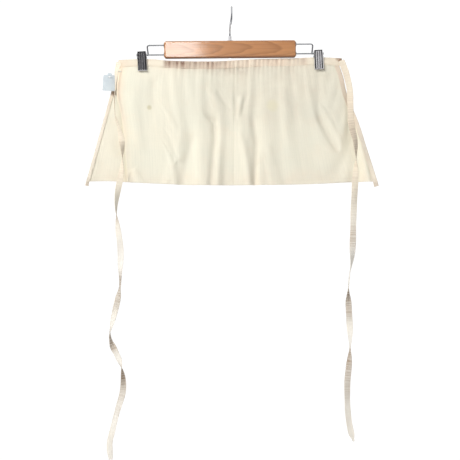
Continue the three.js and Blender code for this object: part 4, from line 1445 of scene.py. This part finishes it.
def add_binding(name, column, inward, tail, wide, shaded):
    """A strip folded round one side edge of the skirt; inward is +1 where the cloth lies towards +X."""
    edge = SKIRT[:, column]
    neighbour = SKIRT[:, column + 4 * inward]
    way = unit(edge[-1] - edge[-6])
    steps = np.linspace(1.5, tail, 4)[:, None] * MM
    line = np.vstack([edge, edge[-1] + way * steps + np.array([0, 0.4, 0]) * steps])
    number = np.arange(len(line))
    ins = unit(neighbour - edge)
    ins = np.vstack([ins, np.tile(ins[-1], (len(steps), 1))])
    tangents = unit(np.gradient(line, axis=0))
    ins = unit(ins - tangents * (ins * tangents).sum(1, keepdims=True))
    normals = np.cross(tangents, ins) * inward
    normals = np.where(normals[:, 1:2] < 0, -normals, normals)
    thick, fold = 1.0 * MM, 0.6 * MM
    arc = np.radians(np.linspace(-90, 90, 7))[1:-1]
    face = np.linspace(wide - 1.2 * MM, fold, 7)
    front = [(w, -thick) for w in face]
    nose = [(fold - thick * math.cos(a), thick * math.sin(a)) for a in arc]
    back = [(w, thick) for w in face[::-1]]
    section = np.array(front + nose + back)
    wobble = 1 + 0.03 * np.sin(number * 0.9)[:, None]
    ridge = 0.12 * MM * np.sin(number * 2.1)[:, None]
    squeezed = (0.55 + 0.45 * smoothstep(0, 4, number))[:, None]
    across, rise = section[:, 0] * wobble - 1.0 * MM, section[:, 1] * squeezed + ridge
    rings = line[:, None] + ins[:, None] * across[..., None] + normals[:, None] * rise[..., None]
    down = (number * BINDING_STEP)[:, None]
    uv = np.stack(np.broadcast_arrays(np.linspace(0, BINDING_FLAT, len(section))[None], down), axis=-1)
    along = np.linspace(0, 1, len(line))
    low_end, high_part = smoothstep(0.9, 1.0, along), falling(0.35, 0.75, along)
    # Painted shade, brown and peach, on the upper part by the amount shaded; darker and pinker towards the
    # open end below the hem.
    grime = 0.05 + 0.18 * low_end + shaded * high_part
    blush = 0.12 + 0.2 * low_end + 1.6 * shaded * high_part
    tints = {"grime": np.repeat(grime, len(section)), "blush": np.repeat(blush, len(section))}
    strip = object_from(name, rings, grid_faces(*rings.shape[:2]), TAPE, "cotton", uv, tints=tints)
    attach(thickened(strip, 0.6 * MM), "apron")
    inner = ins * (wide - 3.4 * MM)
    runs = [(line + inner + normals * side * (thick + 0.3 * MM), normals * side) for side in (-1, 1)]
    return strip, stitches(name + "_stitching", runs, 2.3 * MM)


def hem_stitching(name, columns):
    """A row of stitches on the front and back of the hem."""
    points = SKIRT[:, columns]
    rows = 7.0 * MM / last_step(points)
    line = row_back(points, rows)
    normals = surface_normals(points)[int(len(points) - 1 - rows)]
    rise = CLOTH_THICK / 2 + 0.02 * MM
    runs = [(line - normals * rise, -normals), (line + normals * (HEM_GAP + rise), normals)]
    return stitches(name, runs, 2.4 * MM)


SEAM_COLUMN = int(np.argmin(np.abs(ACROSS - SEAM_S)))
LEFT_COLUMNS = slice(None, SEAM_COLUMN + 1)
RIGHT_COLUMNS = slice(SEAM_COLUMN, None)
band, band_sewn = add_waistband()
left_binding = add_binding("left_edge_binding", 0, 1, 9.0, 7.0 * MM, 0.04)
right_binding = add_binding("right_edge_binding", len(ACROSS) - 1, -1, 10.0, 9.4 * MM, 0.16)
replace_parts(left_binding[0], "left_side_binding")
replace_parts(right_binding[0], "right_side_binding")
left_cloth = cloth_piece("left_skirt_cloth", LEFT_COLUMNS, True)
right_cloth = cloth_piece("right_skirt_cloth", RIGHT_COLUMNS, False)
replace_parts(left_cloth, "left_skirt_panel")
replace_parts(right_cloth, "right_skirt_panel")
left_hem = hem_stitching("left_hem_stitching", LEFT_COLUMNS)
right_hem = hem_stitching("right_hem_stitching", RIGHT_COLUMNS)


# ---- Hang tag and the nylon fastener that carries it ----
TAG_HALF, TAG_THICK = 12.5 * MM, 0.5 * MM
TAG_BELOW = 28 * MM  # how far the card goes below its hole
TAG_HOLE_R = 1.5 * MM
TAG_TAB_R = 4.6 * MM


def tag_outline():
    """The card round its hole: clipped upper corners and a round tab between them."""
    shoulder = [(TAG_HALF, 1.2 * MM), (TAG_HALF - 1.5 * MM, 3 * MM), (5.6 * MM, 3.6 * MM)]
    turns = np.radians(np.arange(10, 171, 16))
    tab = [(TAG_TAB_R * math.cos(a), 3.4 * MM + TAG_TAB_R * math.sin(a)) for a in turns]
    foot = [(-TAG_HALF, -TAG_BELOW), (TAG_HALF, -TAG_BELOW)]
    return foot + shoulder + tab + [(-x, z) for x, z in shoulder[::-1]]


def add_tag():
    """A card with a round tab and a hole, curled a little towards its lower edge."""
    low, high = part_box("hang_tag")
    hole = np.array([(low.x + high.x) / 2, (low.y + high.y) / 2, low.z + TAG_BELOW])
    card = bmesh.new()
    edges = []
    for outline in (tag_outline(), circle(TAG_HOLE_R, 20)):
        ring = [card.verts.new((x, 0, z)) for x, z in outline]
        edges += [card.edges.new((a, b)) for a, b in zip(ring, ring[1:] + ring[:1])]
    bmesh.ops.triangle_fill(card, use_beauty=True, use_dissolve=False, edges=edges)
    for cut_z in np.arange(-26, 3, 2.0) * MM:
        geometry = card.verts[:] + card.edges[:] + card.faces[:]
        bmesh.ops.bisect_plane(card, geom=geometry, plane_co=(0, 0, cut_z), plane_no=(0, 0, 1))
    for vertex in card.verts:
        fall = max(-vertex.co.z / TAG_BELOW, 0)
        vertex.co.y = -1.3 * MM * fall**2 + 0.2 * MM * (vertex.co.x / TAG_HALF) ** 2
    mesh = bpy.data.meshes.new("blank_hang_tag")
    card.to_mesh(mesh)
    card.free()
    mesh.materials.append(CARD)
    tag = in_scene("blank_hang_tag", mesh)
    thickness = tag.modifiers.new("thickness", "SOLIDIFY")
    thickness.thickness, thickness.offset = TAG_THICK, 0
    eased = tag.modifiers.new("eased", "BEVEL")
    eased.width, eased.segments, eased.limit_method = 0.12 * MM, 2, "ANGLE"
    reshaped(apply_modifiers(tag), lambda places: tilted(places, math.radians(-3)) + hole)
    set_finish(tag, "card")
    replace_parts(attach(sharpened(tag, 30), "tag"), "hang_tag")
    return hole


def add_fastener(hole):
    """Clear thread through the binding, looping behind to the tag's hole, with a bar at each end."""
    pierce = in_place(np.array([-221.5, -2.45, -125]))
    route = pierce + np.array([
        [0, 0, 0], [0, 2.45, 0], [-0.6, 5.65, -0.4], [-6, 7.45, -3], [-13, 5.65, -7], [-18.9, 1.95, -10.4],
    ]) * MM
    route = np.vstack([route, hole, hole + [0, -1.2 * MM, 0]])
    line = even_line(smooth_line(route, 8), 0.8 * MM)
    thread = wire("fastener_thread", line, 0.45 * MM, (1, 0, 0), NYLON, "nylon", 12)
    bars = []
    for place, half in ((pierce, 3.5 * MM), (hole + [0, -1.4 * MM, 0], 4 * MM)):
        ends = np.array([place - [half, 0, 0], place + [half, 0, 0]])
        bars.append(wire("fastener_bar", even_line(ends, 1 * MM), 0.6 * MM, (0, 1, 0), NYLON, "nylon", 12))
    fastener = joined("nylon_fastener", [thread, *bars])
    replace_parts(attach(fastener, "apron"), "tag_fastener")


add_fastener(add_tag())


# ---- Studio: pale floor, white surround, a soft key from the upper left, fill, and panels for glints ----
FLOOR_RADIUS = 1.5
FLOOR_Z = -1.2
# Reflections sideways: place from the left (0) to the right (1), and brightness.
REFLECTED = [
    (0.0, 0.25), (0.10, 0.9), (0.20, 0.05), (0.46, 0.03), (0.50, 0.04), (0.72, 0.06), (0.80, 0.95),
    (0.90, 0.5), (1.0, 0.2),
]
AMBIENT = (0.31, 0.31, 0.32)
SEEN_WHITE = (1.06, 1.06, 1.06)


def add_floor():
    """A pale matt floor that fades to white away from the object."""
    s = Shader("pale_floor", (0.9, 0.9, 0.9), 0.9)
    far = s.node("VectorMath", {0: s.place()}, operation="LENGTH").outputs["Value"]
    white = s.range(far, 0.9, FLOOR_RADIUS)
    s.finish(Emission_Color=(1, 1, 1, 1), Emission_Strength=s.math("MULTIPLY", white, 0.6))
    place = (0, 0, FLOOR_Z)
    bpy.ops.mesh.primitive_circle_add(vertices=96, radius=FLOOR_RADIUS, fill_type="NGON", location=place)
    floor = bpy.context.object
    floor.name = "floor"
    floor.data.materials.append(s.material)


def area_light(name, place, target, size, power, glossy=False):
    """A rectangular light aimed at a target; it shows in reflections only if glossy is set."""
    data = bpy.data.lights.new(name, "AREA")
    data.shape = "RECTANGLE"
    data.size, data.size_y = size
    data.energy = power
    light = in_scene(name, data)
    light.location = place
    light.rotation_euler = (Vector(target) - Vector(place)).to_track_quat("-Z", "Y").to_euler()
    light.visible_camera = False
    light.visible_glossy = glossy
    return light


def light_only(light, piece_name):
    """The light falls on one piece alone."""
    receivers = bpy.data.collections.new(light.name + "_receivers")
    receivers.objects.link(bpy.data.objects[piece_name])
    light.light_linking.receiver_collection = receivers


def no_shadow_of(light, piece_names):
    """The named pieces cast no shadow of the light, as narrow tapes don't in very broad light."""
    blockers = bpy.data.collections.new(light.name + "_blockers")
    for name in piece_names:
        blockers.objects.link(bpy.data.objects[name])
    for member in blockers.collection_objects:
        member.light_linking.link_state = "EXCLUDE"
    light.light_linking.blocker_collection = blockers


def add_surround():
    """White to the eye, soft light on the cloth, and for reflections dark with a few bright panels."""
    world = bpy.data.worlds.new("studio")
    world.use_nodes = True
    bpy.context.scene.world = world
    s = Nodes(world.node_tree)
    s.tree.nodes.clear()
    rays = s.node("LightPath").outputs
    parts = s.parts(s.node("TexCoord").outputs["Generated"])
    stops = [(place, (level, level, level * 1.03)) for place, level in REFLECTED]
    sideways = s.ramp(s.range(parts["X"], -1, 1, kind="LINEAR"), stops)
    overhead = s.range(parts["Z"], 0.30, 0.75, 0.0, 0.95)
    reflected = s.mix(1, sideways, overhead, "LIGHTEN")
    ambient = s.mix(rays["Is Glossy Ray"], AMBIENT, reflected)
    seen = s.mix(rays["Is Camera Ray"], ambient, SEEN_WHITE)
    background = s.node("Background", {"Color": seen}).outputs[0]
    s.node("OutputWorld", {"Surface": background})


add_floor()
add_surround()
key = area_light("key", (-1.7, -1.75, 1.25), (-0.05, 0, -0.25), (1.05, 1.05), 80)
area_light("fill", (1.9, -2.2, -0.1), (0, 0, -0.45), (1.4, 1.4), 15)
area_light("back", (0.3, 2.4, 1.0), (0, 0, -0.4), (1.8, 1.4), 40)
softbox = area_light("softbox", (-0.215, -2.75, 0.30), (-0.085, 0, -0.083), (0.18, 0.46), 6.6, glossy=True)
softbox.visible_diffuse = False
weak_strip = area_light("weak_strip", (-0.6, -2.3, 0.1), (-0.18, 0, -0.1), (0.04, 2.9), 1.4, glossy=True)
no_shadow_of(key, ("left_tie_strip", "left_tie_stitching", "right_tie_strip", "right_tie_stitching"))
light_only(softbox, "wooden_bar")
for x in (1.75, -1.4):
    panel = area_light("panel", (x, -1.6, 0.1), (0.17, 0, -0.1), (1.9, 2.9), 25, glossy=True)
    light_only(panel, "right_front_jaw")
light_only(weak_strip, "left_front_jaw")
bpy.context.scene.view_settings.view_transform = "Standard"
